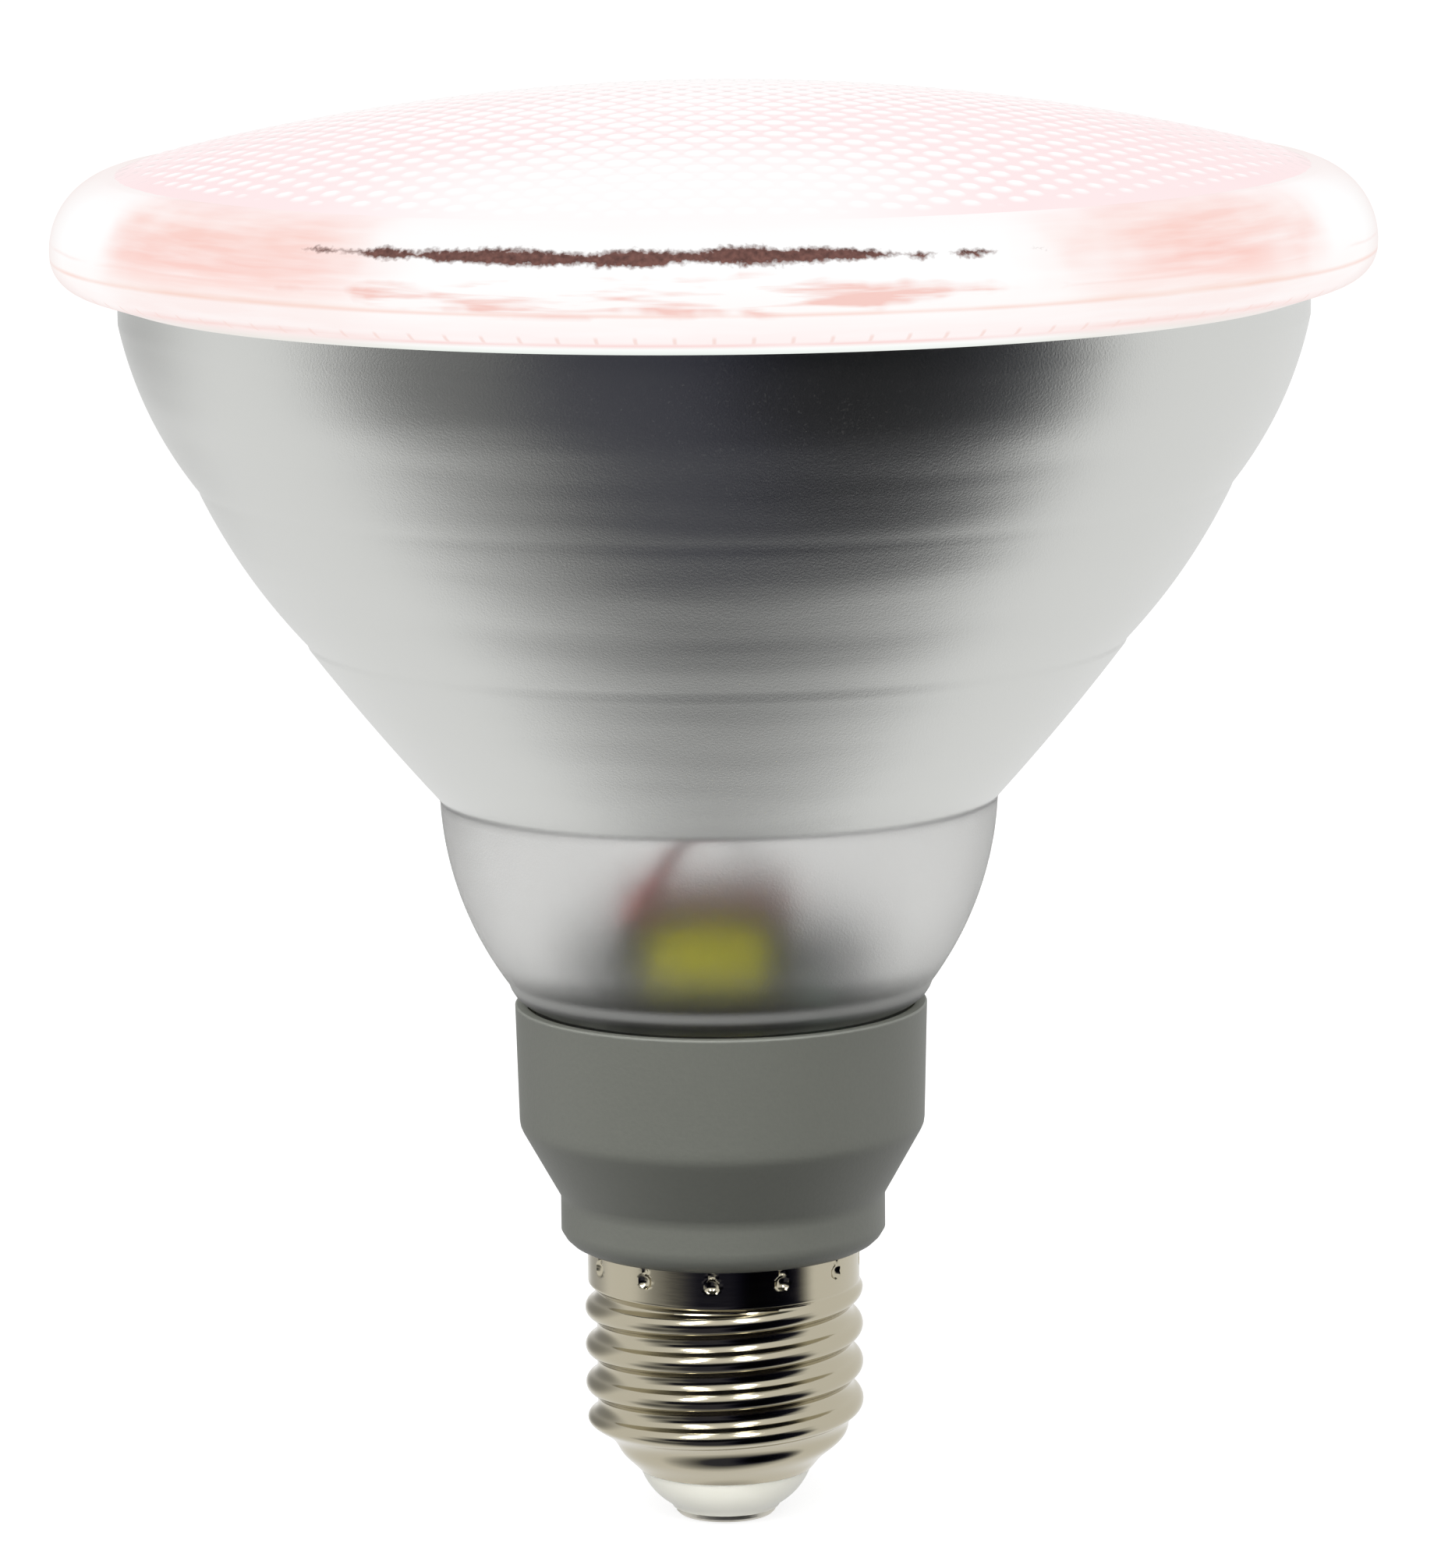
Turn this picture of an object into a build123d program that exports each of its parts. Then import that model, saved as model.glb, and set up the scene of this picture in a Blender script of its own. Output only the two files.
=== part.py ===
from build123d import *

import os
from math import atan2, cos, hypot

# Reflector spotlight lamp with a screw cap.
# A pressed-glass lens closes a stepped funnel of frosted glass. A plastic collar joins the
# glass neck to a rolled screw shell. A disc of light-emitting diodes lies on a ledge inside
# the funnel, and its driver stands on a round board in the collar.
# Z runs up the lamp's axis from the face of the centre contact. All sizes are millimetres.

# Greatest diameter of the lamp, over the belt of its lens
LENS_DIA = 122.0

# Gaps between pieces that are pushed, cemented or slipped together
FIT = 0.05
WIRE_CLEARANCE = 0.2

# Centre contact and insulator
CONTACT_DIA = 9.4
CONTACT_PROUD = 0.6
CONTACT_EDGE = 0.25
RIVET_DIA = 3.2
RIVET_HEAD_DIA = 5.0
RIVET_HEAD_HEIGHT = 0.6
RIVET_BORE_DEPTH = 3.0
INSULATOR_END_DIA = 10.2
INSULATOR_TOP_DIA = 16.2
INSULATOR_HEIGHT = 4.0
INSULATOR_BULGE = 0.45
INSULATOR_FLANGE_HEIGHT = 3.0

# Screw shell
THREAD_CREST_DIA = 26.2
THREAD_DEPTH = 0.9
THREAD_PITCH = 3.629
THREAD_RIDGES = 4
THREAD_CREST_LAND = 1.0
THREAD_ROOT_LAND = 0.8
SHELL_WALL = 0.3
SHELL_MOUTH_DIA = 16.6
SHELL_CONE_HEIGHT = 4.0
SKIRT_INSET = 0.3
SKIRT_HEIGHT = 4.4

# Collar
COLLAR_FOOT_DIA = 26.0
COLLAR_FOOT_HEIGHT = 1.6
COLLAR_FOOT_BULGE = 0.4
COLLAR_BAND_DIA = 30.5
COLLAR_BAND_HEIGHT = 3.3
COLLAR_CONE_HEIGHT = 6.7
COLLAR_WALL_DIA = 38.0
COLLAR_RIM_DIA = 38.6
COLLAR_WALL_HEIGHT = 11.6
COLLAR_CORNER_RADIUS = 2.0
COLLAR_WALL = 2.5
SPIGOT_WALL = 2.0
SPIGOT_GAP = 0.4
RIB_COUNT = 6
RIB_WIDTH = 1.6
RIB_DEPTH = 2.0
RIB_HEIGHT = 5.0

# Glass body
GLASS_WALL = 2.2
NECK_DIA = 34.8
NECK_DEPTH = 5.4
CEMENT_THICKNESS = 0.8
CEMENT_SETBACK = 0.9
CURL_HEIGHT = 2.2
CURL_BULGE = 0.5
CURL_LEAN = 0.55
BOWL_FOOT_DIA = 39.8
BOWL_FOOT_WALL = 2.5
BOWL_HEIGHT = 17.2
BOWL_BULGE = 1.35
SHOULDER_DIA = 52.0
STEP_3_HEIGHT = 14.4
STEP_3_BULGE = 0.2
RING_2_DIA = 76.0
STEP_2_HEIGHT = 14.0
STEP_2_BULGE = 0.65
STEP_1_FLARE = 7.2
STEP_1_HEIGHT = 15.3
STEP_1_BULGE = 1.0
RING_LAND_HEIGHT = 0.5
RING_LAND_SLOPE = 0.2
LENS_OVERHANG = 6.1
BODY_RIM_DIA = LENS_DIA - 2 * LENS_OVERHANG
RING_1_DIA = BODY_RIM_DIA - 2 * STEP_1_FLARE
BODY_RIM_HEIGHT = 3.0
LEDGE_WIDTH = 1.9

# Lens
SEAL_THICKNESS = 0.6
LENS_REBATE_GAP = 0.2
LENS_SKIRT_DROP = 1.4
LENS_LIP_INSET = 2.2
LENS_LIP_DIA = LENS_DIA - 2 * LENS_LIP_INSET
LENS_LIP_RISE = 1.2
LENS_LIP_BULGE = 0.6
LENS_BELT_RISE = 4.2
LENS_EDGE_INSET = 6.6
LENS_EDGE_DIA = LENS_DIA - 2 * LENS_EDGE_INSET
LENS_EDGE_RISE = 7.6
LENS_EDGE_BULGE = 1.7
LENS_CROWN_RISE = 7.0
LENS_THICKNESS = 3.2
REBATE_DEPTH = 3.0

# Diode disc
SPREADER_THICKNESS = 2.0
SPREADER_CLEARANCE = 0.2
SPREADER_HOLE_DIA = 6.4
LED_BOARD_DIA = 40.0
LED_BOARD_THICKNESS = 1.6
LED_SIZE = 3.5
LED_HEIGHT = 0.8
LED_OUTER_COUNT = 12
LED_OUTER_CIRCLE = 30.0
LED_INNER_COUNT = 6
LED_INNER_CIRCLE = 17.0
SCREW_COUNT = 3
SCREW_CIRCLE = 24.0
SCREW_TURN = 15.0
SCREW_DIA = 2.0
SCREW_HEAD_DIA = 3.8
SCREW_HEAD_HEIGHT = 1.3
SCREW_SIDE_COUNT = 6
SOLDER_DIA = 2.0
SOLDER_HEIGHT = 0.7
SOLDER_TAPER = 35.0

# Driver board and its parts
BOARD_THICKNESS = 1.6
BOARD_POCKET = 2.0
BOARD_CLEARANCE = 0.4
CORE_X = -1.2
CORE_Y = -5.0
CORE_WIDTH = 16.0
CORE_HEIGHT = 14.4
CORE_DEPTH = 5.0
CORE_LEG = 2.2
CORE_CENTRE_LEG = 4.0
CORE_LIFT = 3.3
BOBBIN_WALL = 0.8
BOBBIN_RAIL = 2.8
WINDING_DEPTH = 11.0
WINDING_CORNER = 1.8
INPUT_CAP_DIA = 8.0
INPUT_CAP_HEIGHT = 11.5
INPUT_CAP_PLACE = (10.2, 2.0)
OUTPUT_CAP_DIA = 8.0
OUTPUT_CAP_HEIGHT = 10.5
OUTPUT_CAP_PLACE = (-9.4, 5.0)
CAN_EDGE = 0.6
CAN_GROOVE = 0.4
CAN_BUNG_HEIGHT = 1.8
FILM_CAP_SIZE = (9.0, 4.5, 8.0)
FILM_CAP_PLACE = (0.0, 11.0)
CHOKE_DIA = 6.0
CHOKE_HEIGHT = 7.5
CHOKE_WAIST = 0.6
CHOKE_FLANGE = 1.2
CHOKE_PLACE = (-2.2, 4.6)
RECTIFIER_SIZE = (3.6, 4.4, 2.4)
RECTIFIER_PLACE = (3.4, 4.6)
FUSE_DIA = 3.2
FUSE_LENGTH = 8.0
FUSE_LEAD_DIA = 0.7
FUSE_LEAD_BEND = 1.3
FUSE_PLACE = (9.2, -6.6)
CHIP_SIZE = (4.9, 3.9, 1.5)
CHIP_PLACE = (0.0, 5.0)
TRANSISTOR_SIZE = (6.4, 6.0, 2.2)
TRANSISTOR_PLACE = (-6.5, -3.0)
LEG_WIDTH = 0.6
LEG_REACH = 0.9
LEG_HEIGHT = 0.5

# Wires
WIRE_DIA = 1.2
WIRE_SIDE_COUNT = 8
RED_WIRE_START = (-9.2, -9.2)
RED_WIRE_RISE = 2.6
BLACK_WIRE_START = (5.2, 8.8)
WIRE_SPACING = 3.2
LIVE_WIRE_START = (4.0, 0.0)
NEUTRAL_WIRE_START = (-2.0, 0.0)
NEUTRAL_WIRE_DROP = 6.0


def lathe_face(points_and_bulges, place=(0, 0)):
    """Draw a closed profile: each entry is (radius, height, bulge of the run to the next point)."""
    count = len(points_and_bulges)
    with BuildSketch(Plane(origin=(*place, 0), x_dir=(1, 0, 0), z_dir=(0, -1, 0))) as profile:
        with BuildLine():
            for index in range(count):
                radius, height, bulge = points_and_bulges[index]
                next_radius, next_height, _ = points_and_bulges[(index + 1) % count]
                if bulge:
                    SagittaArc((radius, height), (next_radius, next_height), bulge)
                else:
                    Line((radius, height), (next_radius, next_height))
        make_face()
    return profile.sketch


def bent_wire(points, radius, diameter):
    """Sweep a wire along straight runs joined by arcs, with eight flats standing in for its round."""
    with BuildPart() as wire:
        with BuildLine() as route:
            FilletPolyline(*points, radius=radius)
        path = route.line
        with BuildSketch(Plane(origin=path @ 0, z_dir=path % 0)):
            RegularPolygon(diameter / 2, WIRE_SIDE_COUNT)
        sweep(path=path)
    return wire


def chip_with_legs(size, place, base, legs_per_side, hangs):
    """Make a moulded chip with gull legs on two sides, standing on a face or hanging under it."""
    length, width, height = size
    direction = -1 if hangs else 1
    with BuildPart() as chip:
        with BuildSketch(Plane.XY.offset(base + direction * LEG_HEIGHT / 2)):
            with Locations(place):
                Rectangle(length, width)
        extrude(amount=direction * (height - LEG_HEIGHT / 2))
        with BuildSketch(Plane.XY.offset(base)):
            with Locations(place):
                with GridLocations(length / legs_per_side, width + LEG_REACH, legs_per_side, 2):
                    Rectangle(LEG_WIDTH, LEG_REACH * 2)
        extrude(amount=direction * LEG_HEIGHT)
    return chip


def capacitor_can(diameter, height, place, base):
    """Turn an electrolytic can with a bevelled top edge and a rolled groove above its bung."""
    radius = diameter / 2
    outline = [
        (0, base, 0),
        (radius, base, 0),
        (radius, base + CAN_BUNG_HEIGHT, 0),
        (radius - CAN_GROOVE, base + CAN_BUNG_HEIGHT + CAN_GROOVE, 0),
        (radius, base + CAN_BUNG_HEIGHT + 2 * CAN_GROOVE, 0),
        (radius, base + height - CAN_EDGE, 0),
        (radius - CAN_EDGE, base + height, 0),
        (0, base + height, 0),
    ]
    with BuildPart() as can:
        revolve(lathe_face(outline, place), axis=Axis((*place, 0), (0, 0, 1)))
    return can


# Radii worked out from the diameters
contact_r = CONTACT_DIA / 2
rivet_r = RIVET_DIA / 2
crest_r = THREAD_CREST_DIA / 2
root_r = crest_r - THREAD_DEPTH
mouth_r = SHELL_MOUTH_DIA / 2
skirt_r = crest_r - SKIRT_INSET
skirt_bore_r = skirt_r - SHELL_WALL
spigot_r = skirt_bore_r - FIT
spigot_bore_r = spigot_r - SPIGOT_WALL
foot_r = COLLAR_FOOT_DIA / 2
band_r = COLLAR_BAND_DIA / 2
wall_r = COLLAR_WALL_DIA / 2
rim_r = COLLAR_RIM_DIA / 2
neck_r = NECK_DIA / 2
neck_bore_r = neck_r - GLASS_WALL
bowl_foot_r = BOWL_FOOT_DIA / 2
shoulder_r = SHOULDER_DIA / 2
ring_2_r = RING_2_DIA / 2
ring_1_r = RING_1_DIA / 2
body_rim_r = BODY_RIM_DIA / 2
lens_r = LENS_DIA / 2
wire_r = WIRE_DIA / 2
wire_hole_r = wire_r + WIRE_CLEARANCE

# Heights along the axis, stacked up from the contact face
z_insulator = CONTACT_PROUD
z_mouth = z_insulator + INSULATOR_HEIGHT
z_flange = z_mouth + INSULATOR_FLANGE_HEIGHT
z_thread = z_mouth + SHELL_CONE_HEIGHT
thread_flank = (THREAD_PITCH - THREAD_CREST_LAND - THREAD_ROOT_LAND) / 2
z_last_crest = z_thread + THREAD_RIDGES * THREAD_PITCH - THREAD_ROOT_LAND - thread_flank
z_skirt = z_last_crest + SKIRT_INSET
z_foot = z_skirt + SKIRT_HEIGHT
z_band = z_foot + COLLAR_FOOT_HEIGHT
z_cone = z_band + COLLAR_BAND_HEIGHT
z_wall = z_cone + COLLAR_CONE_HEIGHT
z_rim = z_wall + COLLAR_WALL_HEIGHT
z_lip = z_rim - NECK_DEPTH
z_board = z_lip - BOARD_POCKET
z_board_top = z_board + BOARD_THICKNESS
z_bowl = z_rim + CURL_HEIGHT
z_shoulder = z_bowl + BOWL_HEIGHT
z_step_3 = z_shoulder + RING_LAND_HEIGHT
z_ring_2 = z_step_3 + STEP_3_HEIGHT
z_step_2 = z_ring_2 + RING_LAND_HEIGHT
z_ring_1 = z_step_2 + STEP_2_HEIGHT
z_step_1 = z_ring_1 + RING_LAND_HEIGHT
z_body_rim = z_step_1 + STEP_1_HEIGHT
z_body_top = z_body_rim + BODY_RIM_HEIGHT
z_rebate = z_body_top + SEAL_THICKNESS
z_lens_skirt = z_rebate - LENS_SKIRT_DROP
z_lens_lip = z_lens_skirt + LENS_LIP_RISE
z_lens_belt = z_lens_skirt + LENS_BELT_RISE
z_lens_edge = z_lens_belt + LENS_EDGE_RISE
z_lens_crown = z_lens_edge + LENS_CROWN_RISE

# The wall of a slanted funnel is thicker when it is measured level
funnel_tilt = atan2(ring_1_r - shoulder_r, z_ring_1 - z_shoulder)
slant_wall = GLASS_WALL / cos(funnel_tilt)
bowl_bore_r = shoulder_r - GLASS_WALL

# The inner ledge lies where the funnel's inner wall has grown past the bowl's bore
inner_ring_2 = (ring_2_r - slant_wall, z_ring_2 + RING_LAND_HEIGHT / 2)
inner_ring_1 = (ring_1_r - slant_wall, z_ring_1 + RING_LAND_HEIGHT / 2)
ledge_r = bowl_bore_r + LEDGE_WIDTH
inner_slope = (ring_2_r - shoulder_r) / (z_ring_2 - z_shoulder)
z_ledge = inner_ring_2[1] - (inner_ring_2[0] - ledge_r) / inner_slope
z_spreader_top = z_ledge + SPREADER_THICKNESS
z_led_board_top = z_spreader_top + LED_BOARD_THICKNESS

# The cone at the shell's mouth, and the level offset of its inner face
cone_slope = (root_r - mouth_r) / SHELL_CONE_HEIGHT
cone_wall = SHELL_WALL * hypot(1, cone_slope)
mouth_bore_r = mouth_r - cone_wall

os.makedirs("parts", exist_ok=True)

# Centre contact: a plate with a hollow rivet clinched over the insulator
with BuildPart() as centre_contact:
    revolve(
        lathe_face(
            [
                (0, 0, 0),
                (contact_r - CONTACT_EDGE, 0, 0),
                (contact_r, CONTACT_EDGE, 0),
                (contact_r, z_insulator, 0),
                (rivet_r, z_insulator, 0),
                (rivet_r, z_flange, 0),
                (RIVET_HEAD_DIA / 2, z_flange, 0),
                (RIVET_HEAD_DIA / 2, z_flange + RIVET_HEAD_HEIGHT, 0),
                (wire_hole_r, z_flange + RIVET_HEAD_HEIGHT, 0),
                (wire_hole_r, z_flange - RIVET_BORE_DEPTH, 0),
                (0, z_flange - RIVET_BORE_DEPTH, 0),
            ]
        ),
        axis=Axis.Z,
    )
centre_contact.part.label = "centre_contact"
export_step(centre_contact.part, "parts/centre_contact.step")

# Insulator: a blunt cone below the shell, keyed to the inside of the shell's cone
insulator_key_r = mouth_bore_r - FIT
with BuildPart() as cap_insulator:
    revolve(
        lathe_face(
            [
                (rivet_r + FIT, z_insulator, 0),
                (INSULATOR_END_DIA / 2, z_insulator, -INSULATOR_BULGE),
                (INSULATOR_TOP_DIA / 2, z_mouth - FIT, 0),
                (insulator_key_r, z_mouth - FIT, 0),
                (insulator_key_r, z_mouth, 0),
                (insulator_key_r + cone_slope * INSULATOR_FLANGE_HEIGHT, z_flange, 0),
                (rivet_r + FIT, z_flange, 0),
            ]
        ),
        axis=Axis.Z,
    )
cap_insulator.part.label = "cap_insulator"
export_step(cap_insulator.part, "parts/cap_insulator.step")

# Screw shell: a cone at the mouth, ridges at the thread's pitch and a plain skirt, all of one thin wall
shell_bore_r = root_r - SHELL_WALL
shell_outline = [(mouth_bore_r, z_mouth, 0), (mouth_r, z_mouth, 0)]
for ridge in range(THREAD_RIDGES):
    z_ridge = z_thread + ridge * THREAD_PITCH
    z_crest = z_ridge + thread_flank
    shell_outline += [
        (root_r, z_ridge, 0),
        (crest_r, z_crest, 0),
        (crest_r, z_crest + THREAD_CREST_LAND, 0),
    ]
    if ridge < THREAD_RIDGES - 1:
        shell_outline.append((root_r, z_ridge + THREAD_PITCH - THREAD_ROOT_LAND, 0))
shell_outline += [
    (skirt_r, z_skirt, 0),
    (skirt_r, z_foot, 0),
    (skirt_bore_r, z_foot, 0),
    (skirt_bore_r, z_skirt, 0),
    (shell_bore_r, z_skirt - SHELL_WALL, 0),
    (shell_bore_r, z_thread + (cone_wall - SHELL_WALL) / cone_slope, 0),
]
with BuildPart() as screw_shell:
    revolve(lathe_face(shell_outline), axis=Axis.Z)
screw_shell.part.label = "screw_shell"
export_step(screw_shell.part, "parts/screw_shell.step")

# Collar: a moulded cup on a spigot, with a ledge for the glass lip and ribs for the board
board_pocket_r = neck_r - GLASS_WALL / 2
rib_centre_r = board_pocket_r - RIB_DEPTH / 2 + FIT
collar_bore_r = neck_r + CEMENT_THICKNESS + 2 * FIT
band_bore_r = band_r - COLLAR_WALL
z_spigot = z_skirt + SPIGOT_GAP
with BuildPart() as collar:
    with BuildSketch(Plane.XZ):
        with BuildLine():
            Polyline((spigot_bore_r, z_spigot), (spigot_r, z_spigot), (spigot_r, z_foot), (foot_r, z_foot))
            SagittaArc((foot_r, z_foot), (band_r, z_band), -COLLAR_FOOT_BULGE)
            Polyline((band_r, z_band), (band_r, z_cone), (wall_r, z_wall), (rim_r, z_rim))
            Polyline((rim_r, z_rim), (collar_bore_r, z_rim), (collar_bore_r, z_lip))
            Polyline((collar_bore_r, z_lip), (board_pocket_r, z_lip), (board_pocket_r, z_wall))
            Polyline((board_pocket_r, z_wall), (band_bore_r, z_cone), (band_bore_r, z_band))
            Polyline((band_bore_r, z_band), (spigot_bore_r, z_band), (spigot_bore_r, z_spigot))
        make_face()
    revolve(axis=Axis.Z)
    fillet(
        collar.edges().filter_by(GeomType.CIRCLE).sort_by_distance((wall_r, 0, z_wall))[0],
        COLLAR_CORNER_RADIUS,
    )
    with BuildSketch(Plane.XY.offset(z_board)):
        with PolarLocations(rib_centre_r, RIB_COUNT, start_angle=180 / RIB_COUNT):
            Rectangle(RIB_DEPTH + 2 * FIT, RIB_WIDTH)
    extrude(amount=-RIB_HEIGHT)
collar.part.label = "collar"
export_step(collar.part, "parts/collar.step")

# Cement: the ring that holds the glass neck in the collar
with BuildPart() as collar_cement:
    with BuildSketch(Plane.XY.offset(z_lip)):
        Circle(collar_bore_r - FIT)
        Circle(neck_r + FIT, mode=Mode.SUBTRACT)
    extrude(amount=NECK_DEPTH - CEMENT_SETBACK)
collar_cement.part.label = "collar_cement"
export_step(collar_cement.part, "parts/collar_cement.step")

# Glass body: neck, bowl and three bowed steps, pressed in one with a ledge inside the shoulder
inner_bowl_r = bowl_foot_r - BOWL_FOOT_WALL
with BuildPart() as body_shell:
    revolve(
        lathe_face(
            [
                (neck_bore_r, z_lip, 0),
                (neck_r, z_lip, 0),
                (neck_r, z_rim, -CURL_BULGE),
                (bowl_foot_r, z_bowl, -BOWL_BULGE),
                (shoulder_r, z_shoulder, 0),
                (shoulder_r + RING_LAND_SLOPE, z_step_3, -STEP_3_BULGE),
                (ring_2_r, z_ring_2, 0),
                (ring_2_r + RING_LAND_SLOPE, z_step_2, -STEP_2_BULGE),
                (ring_1_r, z_ring_1, 0),
                (ring_1_r + RING_LAND_SLOPE, z_step_1, -STEP_1_BULGE),
                (body_rim_r, z_body_rim, 0),
                (body_rim_r, z_body_top, 0),
                (body_rim_r - GLASS_WALL, z_body_top, 0),
                (body_rim_r - GLASS_WALL, z_body_rim, STEP_1_BULGE),
                (*inner_ring_1, STEP_2_BULGE),
                (*inner_ring_2, 0),
                (ledge_r, z_ledge, 0),
                (bowl_bore_r, z_ledge, 0),
                (bowl_bore_r, z_shoulder, BOWL_BULGE),
                (inner_bowl_r, z_bowl + CURL_LEAN, 0),
                (neck_bore_r, z_bowl - CURL_LEAN, 0),
            ]
        ),
        axis=Axis.Z,
    )
body_shell.part.label = "body_shell"
export_step(body_shell.part, "parts/body_shell.step")

# Seal: the ring of adhesive between the body's rim and the lens
with BuildPart() as lens_seal:
    with BuildSketch(Plane.XY.offset(z_body_top)):
        Circle(body_rim_r)
        Circle(body_rim_r - GLASS_WALL, mode=Mode.SUBTRACT)
    extrude(amount=SEAL_THICKNESS)
lens_seal.part.label = "lens_seal"
export_step(lens_seal.part, "parts/lens_seal.step")

# Lens: a shallow dome with a thick rounded rim, rebated to sit over the body's rim
rebate_r = body_rim_r + LENS_REBATE_GAP
rim_bore_r = rebate_r - REBATE_DEPTH
crown_sphere_r = ((LENS_EDGE_DIA / 2) ** 2 + LENS_CROWN_RISE**2) / (2 * LENS_CROWN_RISE)
inner_sphere_r = crown_sphere_r - LENS_THICKNESS
inner_crown_drop = inner_sphere_r - (inner_sphere_r**2 - rim_bore_r**2) ** 0.5
z_inner_crown = z_lens_crown - LENS_THICKNESS
with BuildPart() as lens:
    with BuildSketch(Plane.XZ):
        with BuildLine():
            Line((rebate_r, z_rebate), (rebate_r, z_lens_skirt))
            Line((rebate_r, z_lens_skirt), (LENS_LIP_DIA / 2, z_lens_lip))
            SagittaArc((LENS_LIP_DIA / 2, z_lens_lip), (lens_r, z_lens_belt), -LENS_LIP_BULGE)
            SagittaArc((lens_r, z_lens_belt), (LENS_EDGE_DIA / 2, z_lens_edge), -LENS_EDGE_BULGE)
            RadiusArc((LENS_EDGE_DIA / 2, z_lens_edge), (0, z_lens_crown), -crown_sphere_r)
            Line((0, z_lens_crown), (0, z_inner_crown))
            RadiusArc((0, z_inner_crown), (rim_bore_r, z_inner_crown - inner_crown_drop), inner_sphere_r)
            Line((rim_bore_r, z_inner_crown - inner_crown_drop), (rim_bore_r, z_rebate))
            Line((rim_bore_r, z_rebate), (rebate_r, z_rebate))
        make_face()
    revolve(axis=Axis.Z)
lens.part.label = "lens"
export_step(lens.part, "parts/lens.step")

# Heat spreader: an aluminium disc on the ledge, drilled for the wires and the board screws
with BuildPart() as heat_spreader:
    with BuildSketch(Plane.XY.offset(z_ledge)):
        Circle(ledge_r - SPREADER_CLEARANCE)
        Circle(SPREADER_HOLE_DIA / 2, mode=Mode.SUBTRACT)
        with PolarLocations(SCREW_CIRCLE / 2, SCREW_COUNT, start_angle=SCREW_TURN):
            Circle(SCREW_DIA / 2 + FIT, mode=Mode.SUBTRACT)
    extrude(amount=SPREADER_THICKNESS)
heat_spreader.part.label = "heat_spreader"
export_step(heat_spreader.part, "parts/heat_spreader.step")

# Diode board: a round metal-core board with two wire holes at its middle
with BuildPart() as led_board:
    with BuildSketch(Plane.XY.offset(z_spreader_top)):
        Circle(LED_BOARD_DIA / 2)
        with GridLocations(WIRE_SPACING, 1, 2, 1):
            Circle(wire_hole_r, mode=Mode.SUBTRACT)
        with PolarLocations(SCREW_CIRCLE / 2, SCREW_COUNT, start_angle=SCREW_TURN):
            Circle(SCREW_DIA / 2 + WIRE_CLEARANCE, mode=Mode.SUBTRACT)
    extrude(amount=LED_BOARD_THICKNESS)
led_board.part.label = "led_board"
export_step(led_board.part, "parts/led_board.step")

# Diodes: square packages on two rings
with BuildPart() as led_emitters:
    with BuildSketch(Plane.XY.offset(z_led_board_top)):
        with PolarLocations(LED_OUTER_CIRCLE / 2, LED_OUTER_COUNT):
            Rectangle(LED_SIZE, LED_SIZE)
        with PolarLocations(LED_INNER_CIRCLE / 2, LED_INNER_COUNT, start_angle=SCREW_TURN * 2):
            Rectangle(LED_SIZE, LED_SIZE)
    extrude(amount=LED_HEIGHT)
led_emitters.part.label = "led_emitters"
export_step(led_emitters.part, "parts/led_emitters.step")

# Board screws: hexagon heads on plain shanks that end level with the spreader
with BuildPart() as board_screws:
    with BuildSketch(Plane.XY.offset(z_ledge)):
        with PolarLocations(SCREW_CIRCLE / 2, SCREW_COUNT, start_angle=SCREW_TURN):
            Circle(SCREW_DIA / 2)
    extrude(amount=SPREADER_THICKNESS + LED_BOARD_THICKNESS)
    with BuildSketch(Plane.XY.offset(z_led_board_top)):
        with PolarLocations(SCREW_CIRCLE / 2, SCREW_COUNT, start_angle=SCREW_TURN):
            RegularPolygon(SCREW_HEAD_DIA / 2, SCREW_SIDE_COUNT)
    extrude(amount=SCREW_HEAD_HEIGHT)
board_screws.part.label = "board_screws"
export_step(board_screws.part, "parts/board_screws.step")

# Solder: a low dome over each wire end on the diode board
with BuildPart() as led_solder_joints:
    with BuildSketch(Plane.XY.offset(z_led_board_top)):
        with GridLocations(WIRE_SPACING, 1, 2, 1):
            RegularPolygon(SOLDER_DIA / 2, WIRE_SIDE_COUNT)
    extrude(amount=SOLDER_HEIGHT, taper=SOLDER_TAPER)
led_solder_joints.part.label = "led_solder_joints"
export_step(led_solder_joints.part, "parts/led_solder_joints.step")

# Driver board: a round board on the collar's ribs, trapped under the glass lip
with BuildPart() as driver_board:
    with BuildSketch(Plane.XY.offset(z_board)):
        Circle(board_pocket_r - BOARD_CLEARANCE)
        with Locations(RED_WIRE_START, BLACK_WIRE_START, LIVE_WIRE_START, NEUTRAL_WIRE_START):
            Circle(wire_hole_r, mode=Mode.SUBTRACT)
    extrude(amount=BOARD_THICKNESS)
driver_board.part.label = "driver_board"
export_step(driver_board.part, "parts/driver_board.step")

# Transformer core: two ferrite halves cemented into one frame with a middle leg
z_core = z_board_top + CORE_LIFT
window_width = (CORE_WIDTH - CORE_CENTRE_LEG) / 2 - CORE_LEG
window_height = CORE_HEIGHT - 2 * CORE_LEG
window_spacing = CORE_CENTRE_LEG + window_width
core_plane = Plane.XZ.offset(-CORE_Y - CORE_DEPTH / 2)
with BuildPart() as transformer_core:
    with BuildSketch(core_plane):
        with Locations((CORE_X, z_core + CORE_HEIGHT / 2)):
            Rectangle(CORE_WIDTH, CORE_HEIGHT)
            with GridLocations(window_spacing, 1, 2, 1):
                Rectangle(window_width, window_height, mode=Mode.SUBTRACT)
    extrude(amount=CORE_DEPTH)
transformer_core.part.label = "transformer_core"
export_step(transformer_core.part, "parts/transformer_core.step")

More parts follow.
